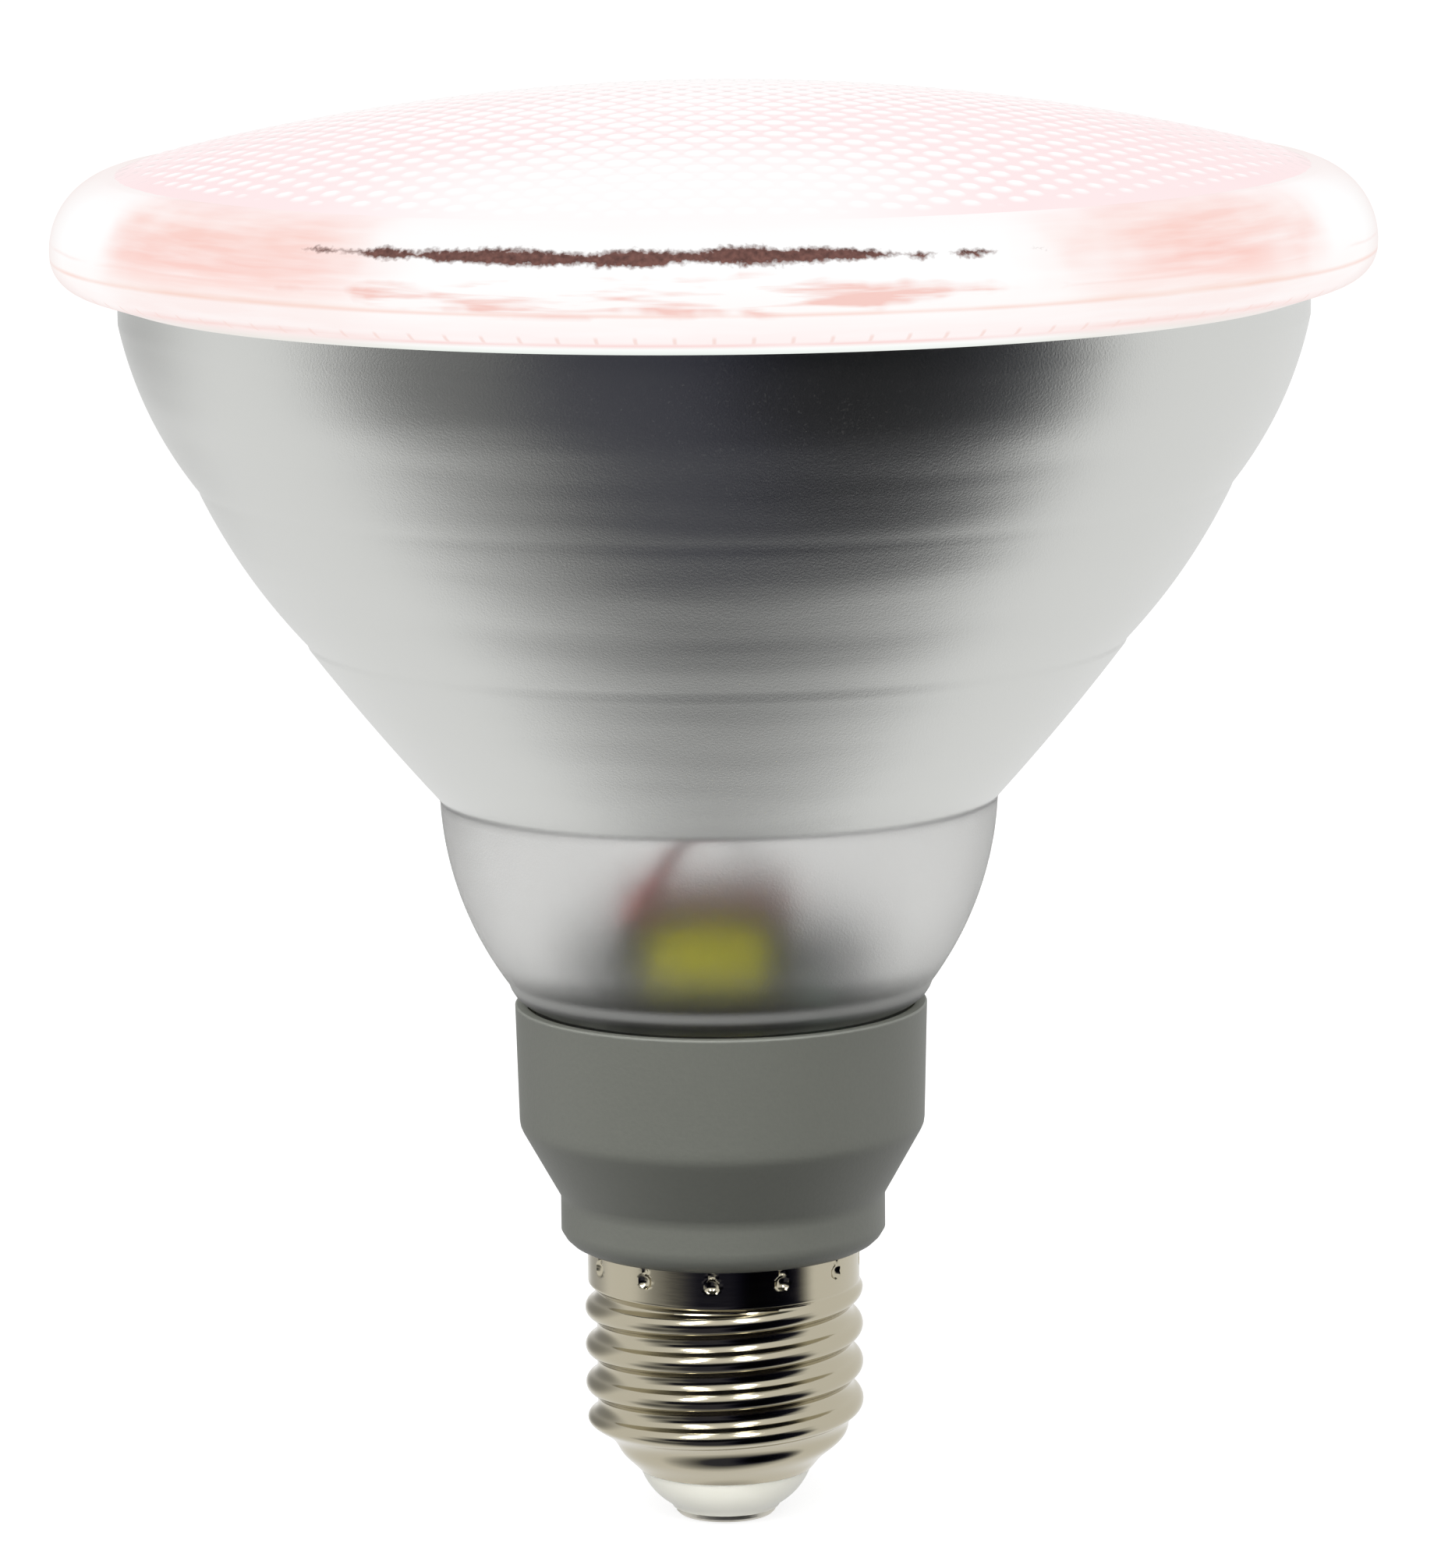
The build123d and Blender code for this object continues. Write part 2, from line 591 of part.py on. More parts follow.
# Bobbin: a tube round the middle leg between two cheeks, on two pin rails beside the core
z_window = z_core + CORE_LEG
cheek_width = CORE_CENTRE_LEG + 2 * window_width - 4 * FIT
bobbin_height = window_height - 2 * FIT
rail_spacing = CORE_DEPTH + BOBBIN_RAIL + 4 * FIT
cheek_depth = CORE_DEPTH + 2 * BOBBIN_RAIL + 4 * FIT
tube_width = CORE_CENTRE_LEG + 2 * BOBBIN_WALL
tube_depth = CORE_DEPTH + 2 * BOBBIN_WALL
core_place = (CORE_X, CORE_Y)
with BuildPart() as transformer_bobbin:
    with BuildSketch(Plane.XY.offset(z_window + FIT)):
        with Locations(core_place):
            Rectangle(tube_width, tube_depth)
    extrude(amount=bobbin_height)
    for cheek_base in (z_window + FIT, z_window + FIT + bobbin_height - BOBBIN_WALL):
        with BuildSketch(Plane.XY.offset(cheek_base)):
            with Locations(core_place):
                Rectangle(cheek_width, cheek_depth)
        extrude(amount=BOBBIN_WALL)
    with BuildSketch(Plane.XY.offset(z_board_top)):
        with Locations(core_place):
            with GridLocations(1, rail_spacing, 1, 2):
                Rectangle(cheek_width, BOBBIN_RAIL)
    extrude(amount=z_window + FIT + BOBBIN_WALL - z_board_top)
    with BuildSketch(Plane.XY.offset(z_window)):
        with Locations(core_place):
            Rectangle(CORE_CENTRE_LEG + 2 * FIT, CORE_DEPTH + 2 * FIT)
    extrude(amount=window_height, mode=Mode.SUBTRACT)
transformer_bobbin.part.label = "transformer_bobbin"
export_step(transformer_bobbin.part, "parts/transformer_bobbin.step")

# Winding: the taped coil that fills the bobbin between its cheeks
winding_width = cheek_width - 2 * FIT
with BuildPart() as transformer_winding:
    with BuildSketch(Plane.XY.offset(z_window + 2 * FIT + BOBBIN_WALL)):
        with Locations(core_place):
            RectangleRounded(winding_width, WINDING_DEPTH, WINDING_CORNER)
            Rectangle(tube_width + 2 * FIT, tube_depth + 2 * FIT, mode=Mode.SUBTRACT)
    extrude(amount=bobbin_height - 2 * BOBBIN_WALL - 2 * FIT)
transformer_winding.part.label = "transformer_winding"
export_step(transformer_winding.part, "parts/transformer_winding.step")

# Electrolytic capacitors beside the transformer
input_capacitor = capacitor_can(INPUT_CAP_DIA, INPUT_CAP_HEIGHT, INPUT_CAP_PLACE, z_board_top)
input_capacitor.part.label = "input_capacitor"
export_step(input_capacitor.part, "parts/input_capacitor.step")

output_capacitor = capacitor_can(OUTPUT_CAP_DIA, OUTPUT_CAP_HEIGHT, OUTPUT_CAP_PLACE, z_board_top)
output_capacitor.part.label = "output_capacitor"
export_step(output_capacitor.part, "parts/output_capacitor.step")

# Film capacitor: a moulded box with softened upright edges
with BuildPart() as film_capacitor:
    with BuildSketch(Plane.XY.offset(z_board_top)):
        with Locations(FILM_CAP_PLACE):
            RectangleRounded(FILM_CAP_SIZE[0], FILM_CAP_SIZE[1], CAN_EDGE)
    extrude(amount=FILM_CAP_SIZE[2])
film_capacitor.part.label = "film_capacitor"
export_step(film_capacitor.part, "parts/film_capacitor.step")

# Choke: a drum core with its coil between two flanges
choke_r = CHOKE_DIA / 2
with BuildPart() as filter_choke:
    for base, height, radius in (
        (z_board_top, CHOKE_FLANGE, choke_r),
        (z_board_top + CHOKE_FLANGE, CHOKE_HEIGHT - 2 * CHOKE_FLANGE, choke_r - CHOKE_WAIST),
        (z_board_top + CHOKE_HEIGHT - CHOKE_FLANGE, CHOKE_FLANGE, choke_r),
    ):
        with BuildSketch(Plane.XY.offset(base)):
            with Locations(CHOKE_PLACE):
                Circle(radius)
        extrude(amount=height)
filter_choke.part.label = "filter_choke"
export_step(filter_choke.part, "parts/filter_choke.step")

# Fuse resistor: a ceramic rod on end, with its upper lead folded back to the board
z_fuse_top = z_board_top + FUSE_LENGTH
lead_reach = FUSE_DIA / 2 + FUSE_LEAD_DIA
fuse_lead_points = [
    (FUSE_PLACE[0], FUSE_PLACE[1], z_fuse_top - FUSE_LEAD_BEND),
    (FUSE_PLACE[0], FUSE_PLACE[1], z_fuse_top + FUSE_LEAD_BEND),
    (FUSE_PLACE[0], FUSE_PLACE[1] - lead_reach, z_fuse_top + FUSE_LEAD_BEND),
    (FUSE_PLACE[0], FUSE_PLACE[1] - lead_reach, z_board_top),
]
fuse_lead = bent_wire(fuse_lead_points, FUSE_LEAD_DIA, FUSE_LEAD_DIA)
with BuildPart() as fuse_resistor:
    with BuildSketch(Plane.XY.offset(z_board_top)):
        with Locations(FUSE_PLACE):
            Circle(FUSE_DIA / 2)
    extrude(amount=FUSE_LENGTH)
    add(fuse_lead.part)
fuse_resistor.part.label = "fuse_resistor"
export_step(fuse_resistor.part, "parts/fuse_resistor.step")

# Surface parts: rectifier on the board, controller and switch under it
rectifier = chip_with_legs(RECTIFIER_SIZE, RECTIFIER_PLACE, z_board_top, 2, False)
rectifier.part.label = "rectifier"
export_step(rectifier.part, "parts/rectifier.step")

controller_chip = chip_with_legs(CHIP_SIZE, CHIP_PLACE, z_board, 4, True)
controller_chip.part.label = "controller_chip"
export_step(controller_chip.part, "parts/controller_chip.step")

switch_transistor = chip_with_legs(TRANSISTOR_SIZE, TRANSISTOR_PLACE, z_board, 2, True)
switch_transistor.part.label = "switch_transistor"
export_step(switch_transistor.part, "parts/switch_transistor.step")

# Wires from the driver up to the diode board, through the hole in the spreader
z_core_top = z_core + CORE_HEIGHT
wire_bend = 3 * WIRE_DIA
red_wire_points = [
    (*RED_WIRE_START, z_board),
    (*RED_WIRE_START, z_core_top + RED_WIRE_RISE),
    (-WIRE_SPACING / 2, 0, z_ledge - 2 * wire_bend),
    (-WIRE_SPACING / 2, 0, z_led_board_top),
]
led_wire_red = bent_wire(red_wire_points, wire_bend, WIRE_DIA)
led_wire_red.part.label = "led_wire_red"
export_step(led_wire_red.part, "parts/led_wire_red.step")

black_wire_points = [
    (*BLACK_WIRE_START, z_board),
    (*BLACK_WIRE_START, z_core_top - wire_bend),
    (WIRE_SPACING / 2, 0, z_ledge - 2 * wire_bend),
    (WIRE_SPACING / 2, 0, z_led_board_top),
]
led_wire_black = bent_wire(black_wire_points, wire_bend, WIRE_DIA)
led_wire_black.part.label = "led_wire_black"
export_step(led_wire_black.part, "parts/led_wire_black.step")

# Wires from the driver down to the contact's rivet and to the shell's inner wall
live_wire_points = [
    (*LIVE_WIRE_START, z_board_top),
    (*LIVE_WIRE_START, z_wall),
    (0, 0, z_band),
    (0, 0, z_flange - RIVET_BORE_DEPTH),
]
live_wire = bent_wire(live_wire_points, wire_bend, WIRE_DIA)
live_wire.part.label = "live_wire"
export_step(live_wire.part, "parts/live_wire.step")

neutral_end_r = shell_bore_r - wire_r - FIT
neutral_wire_points = [
    (*NEUTRAL_WIRE_START, z_board_top),
    (*NEUTRAL_WIRE_START, z_wall),
    (-spigot_bore_r / 2, 0, z_foot),
    (-neutral_end_r, 0, z_skirt - NEUTRAL_WIRE_DROP),
    (-neutral_end_r, 0, z_skirt - 2 * NEUTRAL_WIRE_DROP),
]
neutral_wire = bent_wire(neutral_wire_points, wire_bend, WIRE_DIA)
neutral_wire.part.label = "neutral_wire"
export_step(neutral_wire.part, "parts/neutral_wire.step")
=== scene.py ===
import logging
import math
from collections.abc import Callable
from dataclasses import dataclass
from enum import Enum
from functools import partial
from typing import Any

import bpy
import numpy as np
from mathutils import Matrix


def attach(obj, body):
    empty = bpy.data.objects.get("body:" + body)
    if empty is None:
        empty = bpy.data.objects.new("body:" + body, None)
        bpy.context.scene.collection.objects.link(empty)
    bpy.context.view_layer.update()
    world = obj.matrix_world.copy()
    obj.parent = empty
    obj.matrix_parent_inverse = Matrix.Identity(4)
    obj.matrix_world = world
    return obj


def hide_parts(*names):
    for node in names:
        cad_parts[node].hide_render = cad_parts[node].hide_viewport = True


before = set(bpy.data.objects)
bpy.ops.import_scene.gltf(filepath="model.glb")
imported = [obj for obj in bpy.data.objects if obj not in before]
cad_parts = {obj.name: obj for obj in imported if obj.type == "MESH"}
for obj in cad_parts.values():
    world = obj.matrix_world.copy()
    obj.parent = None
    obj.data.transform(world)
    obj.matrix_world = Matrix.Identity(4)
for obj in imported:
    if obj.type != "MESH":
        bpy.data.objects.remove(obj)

LOG = logging.getLogger("par_bulb")

MM = 0.001
TURN = 2 * math.pi

# Settings that many nodes share
SOFT = {"interpolation_type": "SMOOTHSTEP"}
COLOURS = {"data_type": "RGBA"}

Adder = Callable[..., Any]
Runs = tuple[tuple[float, float, float], ...]


class Shading(Enum):
    """How a mesh's faces meet: as one smooth skin, or with creases kept sharp."""

    SMOOTH = 180.0
    CREASED = 32.0


def linear(hex_colour: str) -> tuple[float, float, float, float]:
    """Turn an sRGB hex colour such as #8a8f85 into linear RGBA."""
    values = np.array([int(hex_colour[i : i + 2], 16) for i in (1, 3, 5)]) / 255
    low = values / 12.92
    high = ((values + 0.055) / 1.055) ** 2.4
    return (*np.where(values <= 0.04045, low, high).tolist(), 1.0)


def add_node(
    tree: bpy.types.NodeTree,
    kind: str,
    inputs: dict | tuple = (),
    out: int | str | None = 0,
    **settings: Any,
) -> Any:
    """Add a shader node, set its properties, and link or fill its inputs.

    A MapRange takes in order its value, the range that it comes from and the range it goes to.

    Args:
        tree: the node tree that takes the node.
        kind: the node's type name without its ShaderNode prefix.
        inputs: sockets, plain values or hex colours, in order or by input name or number.
        out: name or number of the output to return.
        settings: properties of the node itself.
    Returns:
        The chosen output socket, or the node where out is None.
    """
    node = tree.nodes.new("ShaderNode" + kind)
    for key, value in settings.items():
        setattr(node, key, value)
    for key, value in inputs.items() if isinstance(inputs, dict) else enumerate(inputs):
        if isinstance(value, bpy.types.NodeSocket):
            tree.links.new(value, node.inputs[key])
        else:
            node.inputs[key].default_value = linear(value) if isinstance(value, str) else value
    return node if out is None else node.outputs[out]


def new_material(name: str) -> tuple[bpy.types.Material, Adder]:
    """Make an empty node material and return it with the function that adds its nodes."""
    material = bpy.data.materials.new(name)
    material.use_nodes = True
    material.node_tree.nodes.clear()
    return material, partial(add_node, material.node_tree)


def profile_from_runs(runs: Runs, step: float, closed: bool) -> np.ndarray:
    """Sample a lathe profile made of straight and bowed runs.

    A run with sagitta s over a chord c is the arc of radius (c*c/4 + s*s) / (2*s); its points are
    the chord's points pushed sideways by the arc's height there. A positive sagitta bows outwards
    when the run climbs.

    Args:
        runs: (radius, height, sagitta of the run to the next point) in millimetres.
        step: the longest distance between two points.
        closed: whether the last point runs back to the first.
    Returns:
        Points as an array of (radius, height).
    """
    corners = np.array([run[:2] for run in runs], dtype=float)
    bows = [run[2] for run in runs]
    ends = np.roll(corners, -1, axis=0)
    count = len(runs) if closed else len(runs) - 1
    pieces = []
    for start, end, bow in zip(corners[:count], ends[:count], bows[:count]):
        chord = end - start
        length = float(np.hypot(*chord))
        share = np.linspace(0, 1, max(1, math.ceil(length / step)) + 1)[:-1]
        across = np.array([chord[1], -chord[0]]) / length
        height = np.zeros_like(share)
        if bow:
            radius = (length**2 / 4 + bow**2) / (2 * abs(bow))
            height = np.sqrt(radius**2 - (share - 0.5) ** 2 * length**2) - (radius - abs(bow))
            height *= math.copysign(1, bow)
        pieces.append(start + share[:, None] * chord + height[:, None] * across)
    if not closed:
        pieces.append(corners[-1:])
    return np.concatenate(pieces)


def turned(pairs: np.ndarray, segments: int) -> np.ndarray:
    """Turn pairs (r, z) about Z: at the angle t each becomes (r cos t, r sin t, z)."""
    angle = np.arange(segments) * TURN / segments
    ring = np.stack([np.cos(angle), np.sin(angle), np.zeros(segments)], axis=-1)
    return pairs[:, None, :1] * ring + pairs[:, None, 1:] * np.array([0.0, 0.0, 1.0])


def grid_faces(rows: int, columns: int, wrap_rows: bool) -> np.ndarray:
    """Number the quads of a grid whose columns close on themselves."""
    row = np.arange(rows if wrap_rows else rows - 1)[:, None]
    column = np.arange(columns)[None, :]
    above = (row + 1) % rows
    right = (column + 1) % columns
    lower = (row * columns + column, row * columns + right)
    upper = (above * columns + right, above * columns + column)
    return np.stack(np.broadcast_arrays(*lower, *upper), axis=-1).reshape(-1, 4)


def capped_faces(rows: int, columns: int) -> np.ndarray:
    """Number the quads of an open tube of rings, and a fan at each end to its pole, listed last."""
    near = np.arange(columns)
    after = np.roll(near, -1)
    top = (rows - 1) * columns
    first_pole = np.full(columns, rows * columns)
    first_fan = np.stack([after, near, first_pole], axis=-1)
    last_fan = np.stack([top + near, top + after, first_pole + 1], axis=-1)
    faces = grid_faces(rows, columns, False).tolist() + first_fan.tolist() + last_fan.tolist()
    return np.array(faces, dtype=object)


def mesh_object(name: str, points: np.ndarray, faces: np.ndarray, shading: Shading) -> bpy.types.Object:
    """Put points in millimetres and faces into a smooth-shaded mesh object at the origin.

    Args:
        name: the piece's name.
        points: vertices as (n, 3).
        faces: vertex numbers of triangles and quads.
        shading: how its faces meet.
    Returns:
        The linked object.
    """
    mesh = bpy.data.meshes.new(name)
    mesh.from_pydata((points * MM).tolist(), [], faces.tolist())
    mesh.validate()
    mesh.polygons.foreach_set("use_smooth", np.ones(len(mesh.polygons), dtype=bool))
    if shading is not Shading.SMOOTH:
        mesh.set_sharp_from_angle(angle=math.radians(shading.value))
    mesh.update()
    piece = bpy.data.objects.new(name, mesh)
    bpy.context.scene.collection.objects.link(piece)
    return piece


def lathe_object(name: str, profile: np.ndarray, segments: int, closed: bool) -> bpy.types.Object:
    """Turn a profile about Z into a mesh object with creases.

    Args:
        name: the piece's name.
        profile: (radius, height) points, going up on the outside.
        segments: how many steps there are round the axis.
        closed: whether the profile is a closed loop. An open one starts and ends on the axis.
    Returns:
        The linked object.
    """
    if closed:
        faces = grid_faces(len(profile), segments, True)
        return mesh_object(name, turned(profile, segments).reshape(-1, 3), faces, Shading.CREASED)
    rings = turned(profile[1:-1], segments).reshape(-1, 3)
    poles = np.array([[0, 0, profile[0, 1]], [0, 0, profile[-1, 1]]])
    faces = capped_faces(len(profile) - 2, segments)
    return mesh_object(name, np.concatenate([rings, poles]), faces, Shading.CREASED)


@dataclass(frozen=True)
class MottledFinish:
    """A finish with a fine two-tone mottle and a grain that lifts the light a little.

    Fields: the two tones as hex colours, the mottle's size in millimetres, how rough and how
    metallic it is, and how deep its grain is.
    """

    name: str
    tone: str
    second_tone: str
    mottle_mm: float
    roughness: float
    metallic: float = 0.0
    grain: float = 0.08

    def tint(self, add: Adder, place: Any, tones: Any) -> Any:
        """Leave the two tones as they are."""
        return tones

    def build(self) -> bpy.types.Material:
        """Build the material: noise between the two tones, and the same noise as a shallow bump."""
        material, add = new_material(self.name)
        place = add("TexCoord", out="Object")
        size = self.mottle_mm * MM
        mottle = add("TexNoise", {"Vector": place, "Scale": 1 / size, "Detail": 3.0})
        tones = add("Mix", {0: mottle, 6: self.tone, 7: self.second_tone}, 2, **COLOURS)
        look = {
            "Base Color": self.tint(add, place, tones),
            "Roughness": self.roughness,
            "Metallic": self.metallic,
            "Normal": add("Bump", {"Height": mottle, "Strength": self.grain, "Distance": size}),
        }
        add("OutputMaterial", (add("BsdfPrincipled", look),), None)
        return material


@dataclass(frozen=True)
class LevelledFinish(MottledFinish):
    """A mottled finish that turns into another tone past a level, with a broken edge.

    Fields: the level's height and the width of the change in millimetres, the tone beyond it, and
    the size of the edge's specks. A negative width puts the other tone below the level.
    """

    level_z: float = 0.0
    change_mm: float = 0.2
    level_tone: str = "#808080"
    speck_mm: float = 1.4

    def tint(self, add: Adder, place: Any, tones: Any) -> Any:
        """Mix in the other tone by height and noise."""
        height = add("SeparateXYZ", (place,), "Z")
        specks = add("TexNoise", {"Vector": place, "Scale": 1 / (self.speck_mm * MM), "Detail": 3.0})
        broken = add("Math", (specks, self.change_mm * MM, height), operation="MULTIPLY_ADD")
        beyond = add("MapRange", (broken, self.level_z * MM, (self.level_z + self.change_mm) * MM))
        return add("Mix", {0: beyond, 6: tones, 7: self.level_tone}, 2, **COLOURS)


@dataclass(frozen=True)
class FrostedGlass:
    """Soda glass, pressed and frosted outside, silvered inside above the shoulder.

    Above the shoulder the eye meets the smooth silvered mirror through the frost, so it shows a
    blurred room. Below it the bowl is clear inside, and blurred shapes come through, with a hazy
    bead at the bowl's foot and a neck darkened by painted shade. Lengths are millimetres.
    """

    shoulder_z: float
    neck_z: float
    bead_z: float
    blend: float = 0.3
    frost: str = "#d2d3cf"
    frost_roughness: float = 0.55
    # Drawn coarser than real frost, whose grain is too fine to show
    frost_grain: float = 0.2
    frost_share: float = 0.012
    speck_share: float = 0.09
    silver: str = "#d9dad7"
    silver_roughness: float = 0.28
    wave: float = 8.0
    wave_depth: float = 0.26
    wave_stretch: float = 0.16
    tint: str = "#f2f2f0"
    # Painted shade: the bowl's glass darkens to this tone towards the neck
    neck_tint: str = "#3a3c36"
    neck_fade: tuple[float, float] = (0.9, 2.4)
    shadow_tint: str = "#d0d0cc"
    blur: float = 0.5
    ior: float = 1.45
    haze: float = 0.02
    bead_haze: float = 0.55
    bead_fade: tuple[float, float] = (0.1, 0.9)

    def silvered(self, add: Adder, place: Any, grain: Any) -> Any:
        """Shade the silver by the smooth funnel's normals, with long waves and frost grain on them."""
        mirror = add("Attribute", out="Vector", attribute_name="mirror_normal")
        flat = add("Mapping", {"Vector": place, "Scale": (self.wave_stretch, self.wave_stretch, 1.0)})
        waves = add("TexNoise", {"Vector": flat, "Scale": 1 / (self.wave * MM)})
        wavy = {"Height": waves, "Strength": 0.7, "Distance": self.wave_depth * MM, "Normal": mirror}
        sparkle = {"Height": grain, "Strength": 0.07, "Distance": self.frost_grain * MM}
        look = {
            "Base Color": self.silver,
            "Metallic": 1.0,
            "Roughness": self.silver_roughness,
            "Normal": add("Bump", {**sparkle, "Normal": add("Bump", wavy)}),
        }
        return add("BsdfPrincipled", look)

    def opened(self, add: Adder, height: Any, bump: Any) -> Any:
        """Shade the clear bowl, with painted shade towards the neck, and let lamp light pass straight
        through it.
        """
        start, end = ((self.neck_z + rise) * MM for rise in self.neck_fade)
        neck = add("MapRange", (height, start, end), **SOFT)
        look = {
            "Base Color": add("Mix", {0: neck, 6: self.neck_tint, 7: self.tint}, 2, **COLOURS),
            "Roughness": self.blur,
            "Transmission Weight": 1.0,
            "IOR": self.ior,
            "Normal": bump,
        }
        clear = add("BsdfTransparent", {"Color": self.shadow_tint})
        return add("MixShader", (add("LightPath", out="Is Shadow Ray"), add("BsdfPrincipled", look), clear))

    def build(self) -> bpy.types.Material:
        """Build the outer face: frost over silver above the shoulder, and over open glass below it."""
        material, add = new_material("frosted_soda_glass")
        place = add("TexCoord", out="Object")
        height = add("SeparateXYZ", (place,), "Z")
        grit = self.frost_grain * MM
        grain = add("TexNoise", {"Vector": place, "Scale": 1 / grit, "Detail": 2.0})
        bump = add("Bump", {"Height": grain, "Strength": 0.12, "Distance": grit})
        look = {"Base Color": self.frost, "Roughness": self.frost_roughness, "Normal": bump}
        frost = add("BsdfPrincipled", look)
        specks = add("MapRange", (grain, 0.62, 0.74, self.frost_share, self.speck_share))
        mirror_skin = add("MixShader", (specks, self.silvered(add, place, grain), frost))
        off_bead = add("Math", (height, self.bead_z * MM), operation="SUBTRACT")
        off_bead = add("Math", (off_bead,), operation="ABSOLUTE")
        near, far = (reach * MM for reach in self.bead_fade)
        haze = add("MapRange", (off_bead, near, far, self.bead_haze, self.haze), **SOFT)
        bowl_skin = add("MixShader", (haze, self.opened(add, height, bump), frost))
        start, end = ((self.shoulder_z + side * self.blend) * MM for side in (-1, 1))
        skin = add("MixShader", (add("MapRange", (height, start, end)), bowl_skin, mirror_skin))
        add("OutputMaterial", (skin,), None)
        return material


@dataclass(frozen=True)
class ClearGlass:
    """The glass body's inner face: smooth soda glass with slow waves, as it left the plunger."""

    wave_mm: float = 6.0
    roughness: float = 0.05
    ior: float = 1.45

    def build(self) -> bpy.types.Material:
        """Build smooth glass that lets lamp light pass straight on to what it covers."""
        material, add = new_material("clear_soda_glass")
        place = add("TexCoord", out="Object")
        waves = add("TexNoise", {"Vector": place, "Scale": 1 / (self.wave_mm * MM)})
        look = {
            "Roughness": self.roughness,
            "Transmission Weight": 1.0,
            "IOR": self.ior,
            "Normal": add("Bump", {"Height": waves, "Strength": 0.05, "Distance": MM}),
        }
        shade = add("LightPath", out="Is Shadow Ray")
        skin = add("MixShader", (shade, add("BsdfPrincipled", look), add("BsdfTransparent")))
        add("OutputMaterial", (skin,), None)
        return material


@dataclass(frozen=True)
class LitLensGlass:
    """Pressed borosilicate glass over burning diodes, their light painted on it as a glow: white crowns,
    pink valleys, a banded rim.

    Lengths are millimetres. The lens is so bright that it hides its own reflections, so it has none.
    """

    low_z: float
    high_z: float
    belt_z: float
    # Height, turn and half width of a dark broken line round the rim
    bond_z: float = 124.8
    bond_turn: float = math.radians(6)
    bond_half: float = 0.75
    blush_z: float = 121.6
    blush_half: float = 1.7
    swing: float = 0.9
    ticks: float = 112.0
    tick_foot: tuple[float, float] = (117.3, 117.5)
    tick_head: tuple[float, float] = (118.2, 117.9)
    gloss: float = 0.2
    shine: float = 0.0
    body: str = "#141212"

    def layered(self, add: Adder, glow: Any, layers: tuple[tuple[Any, Any], ...]) -> None:
        """Lay colours over a glow, each by its share, and end the material in glass that glows so."""
        for share, colour in layers:
            glow = add("Mix", {0: share, 6: glow, 7: colour}, 2, **COLOURS)
        look = {
            "Base Color": self.body,
            "Roughness": self.gloss,
            "Specular IOR Level": self.shine,
            "Emission Color": glow,
            "Emission Strength": 1.0,
        }
        add("OutputMaterial", (add("BsdfPrincipled", look),), None)

    def ramp(self, add: Adder, factor: Any, stops: tuple[tuple[float, str], ...]) -> Any:
        """Colour a height by stops of (height in millimetres, hex colour), and return the socket."""
        node = add("ValToRGB", (factor,), None)
        marks = node.color_ramp.elements
        for _ in stops[2:]:
            marks.new(0.5)
        for mark, (level, colour) in zip(marks, stops):
            mark.position = (level - self.low_z) / (self.high_z - self.low_z)
            mark.color = linear(colour)
        return node.outputs["Color"]

    def outline(self, add: Adder, start: float) -> Any:
        """Share of a darker tone where the glass turns away: painted shade along the glass's edge."""
        facing = add("LayerWeight", {"Blend": 0.5}, "Facing")
        return add("MapRange", (facing, start, 1.0, 0.0, 0.7))

    def stroke(self, add: Adder, height: Any, level_z: float, strength: Any, widest: float) -> Any:
        """Mask a frayed line round the rim.

        Args:
            add: the function that adds the material's nodes.
            height: socket of the height, with its fray.
            level_z: the line's height in millimetres.
            strength: socket of how strong the line is along the rim.
            widest: half the line's greatest width in millimetres.
        Returns:
            A socket that is 1 within the width that the strength gives, and 0 outside it.
        """
        off = add("Math", (height, level_z * MM), operation="SUBTRACT")
        off = add("Math", (off,), operation="ABSOLUTE")
        width = add("MapRange", (strength, 0.4, 0.95, -0.2 * MM, widest * MM))
        inside = add("Math", (width, off), operation="SUBTRACT")
        soft = 0.25 * widest * MM
        return add("MapRange", (inside, -soft, soft))

    def banded(self, add: Adder, height: Any, angle: Any, broad: Any) -> Any:
        """Paint the rim's glow by height, in white bands that turn to peach at four corners."""
        level = add("MapRange", (height, self.low_z * MM, self.high_z * MM))
        white = (
            (116.0, "#e9f1ea"), (116.8, "#fdfffd"), (117.25, "#fbdcda"), (117.55, "#fff3f2"),
            (119.75, "#fffaf9"), (120.0, "#fbe0d9"), (120.3, "#fffbfa"), (122.6, "#ffffff"),
            (125.6, "#ffffff"), (128.0, "#fffafa"),
        )
        peach = (
            (116.0, "#e9efe8"), (117.3, "#fdeeec"), (117.7, "#f9dcd8"), (118.2, "#fdefed"),
            (119.8, "#fdf0ee"), (120.1, "#f9dad0"), (120.6, "#fdeae6"), (121.6, "#fddcd6"),
            (123.2, "#facdc5"), (125.4, "#fad2ca"), (126.8, "#fbdcd7"), (128.0, "#fdecec"),
        )
        four = add("Math", (angle, 4.0), operation="MULTIPLY")
        lobes = add("Math", (four,), operation="COSINE")
        lobes = add("Math", (broad, 0.9, lobes), operation="MULTIPLY_ADD")
        corner = add("MapRange", (lobes, -0.6, 0.4, 1.0, 0.0), **SOFT)
        bands = {6: self.ramp(add, level, white), 7: self.ramp(add, level, peach)}
        return add("Mix", {0: corner, **bands}, 2, **COLOURS)

    def ticked(self, add: Adder, height: Any, angle: Any) -> Any:
        """Mask the faint moulded ticks that stand in a row round the rim's foot."""
        teeth = add("Math", (angle, self.ticks), operation="MULTIPLY")
        teeth = add("Math", (teeth,), operation="COSINE")
        tick = add("MapRange", (teeth, 0.9, 1.0))
        for start, end in (self.tick_head, self.tick_foot):
            side = add("MapRange", (height, start * MM, end * MM))
            tick = add("Math", (tick, side), operation="MULTIPLY")
        return tick

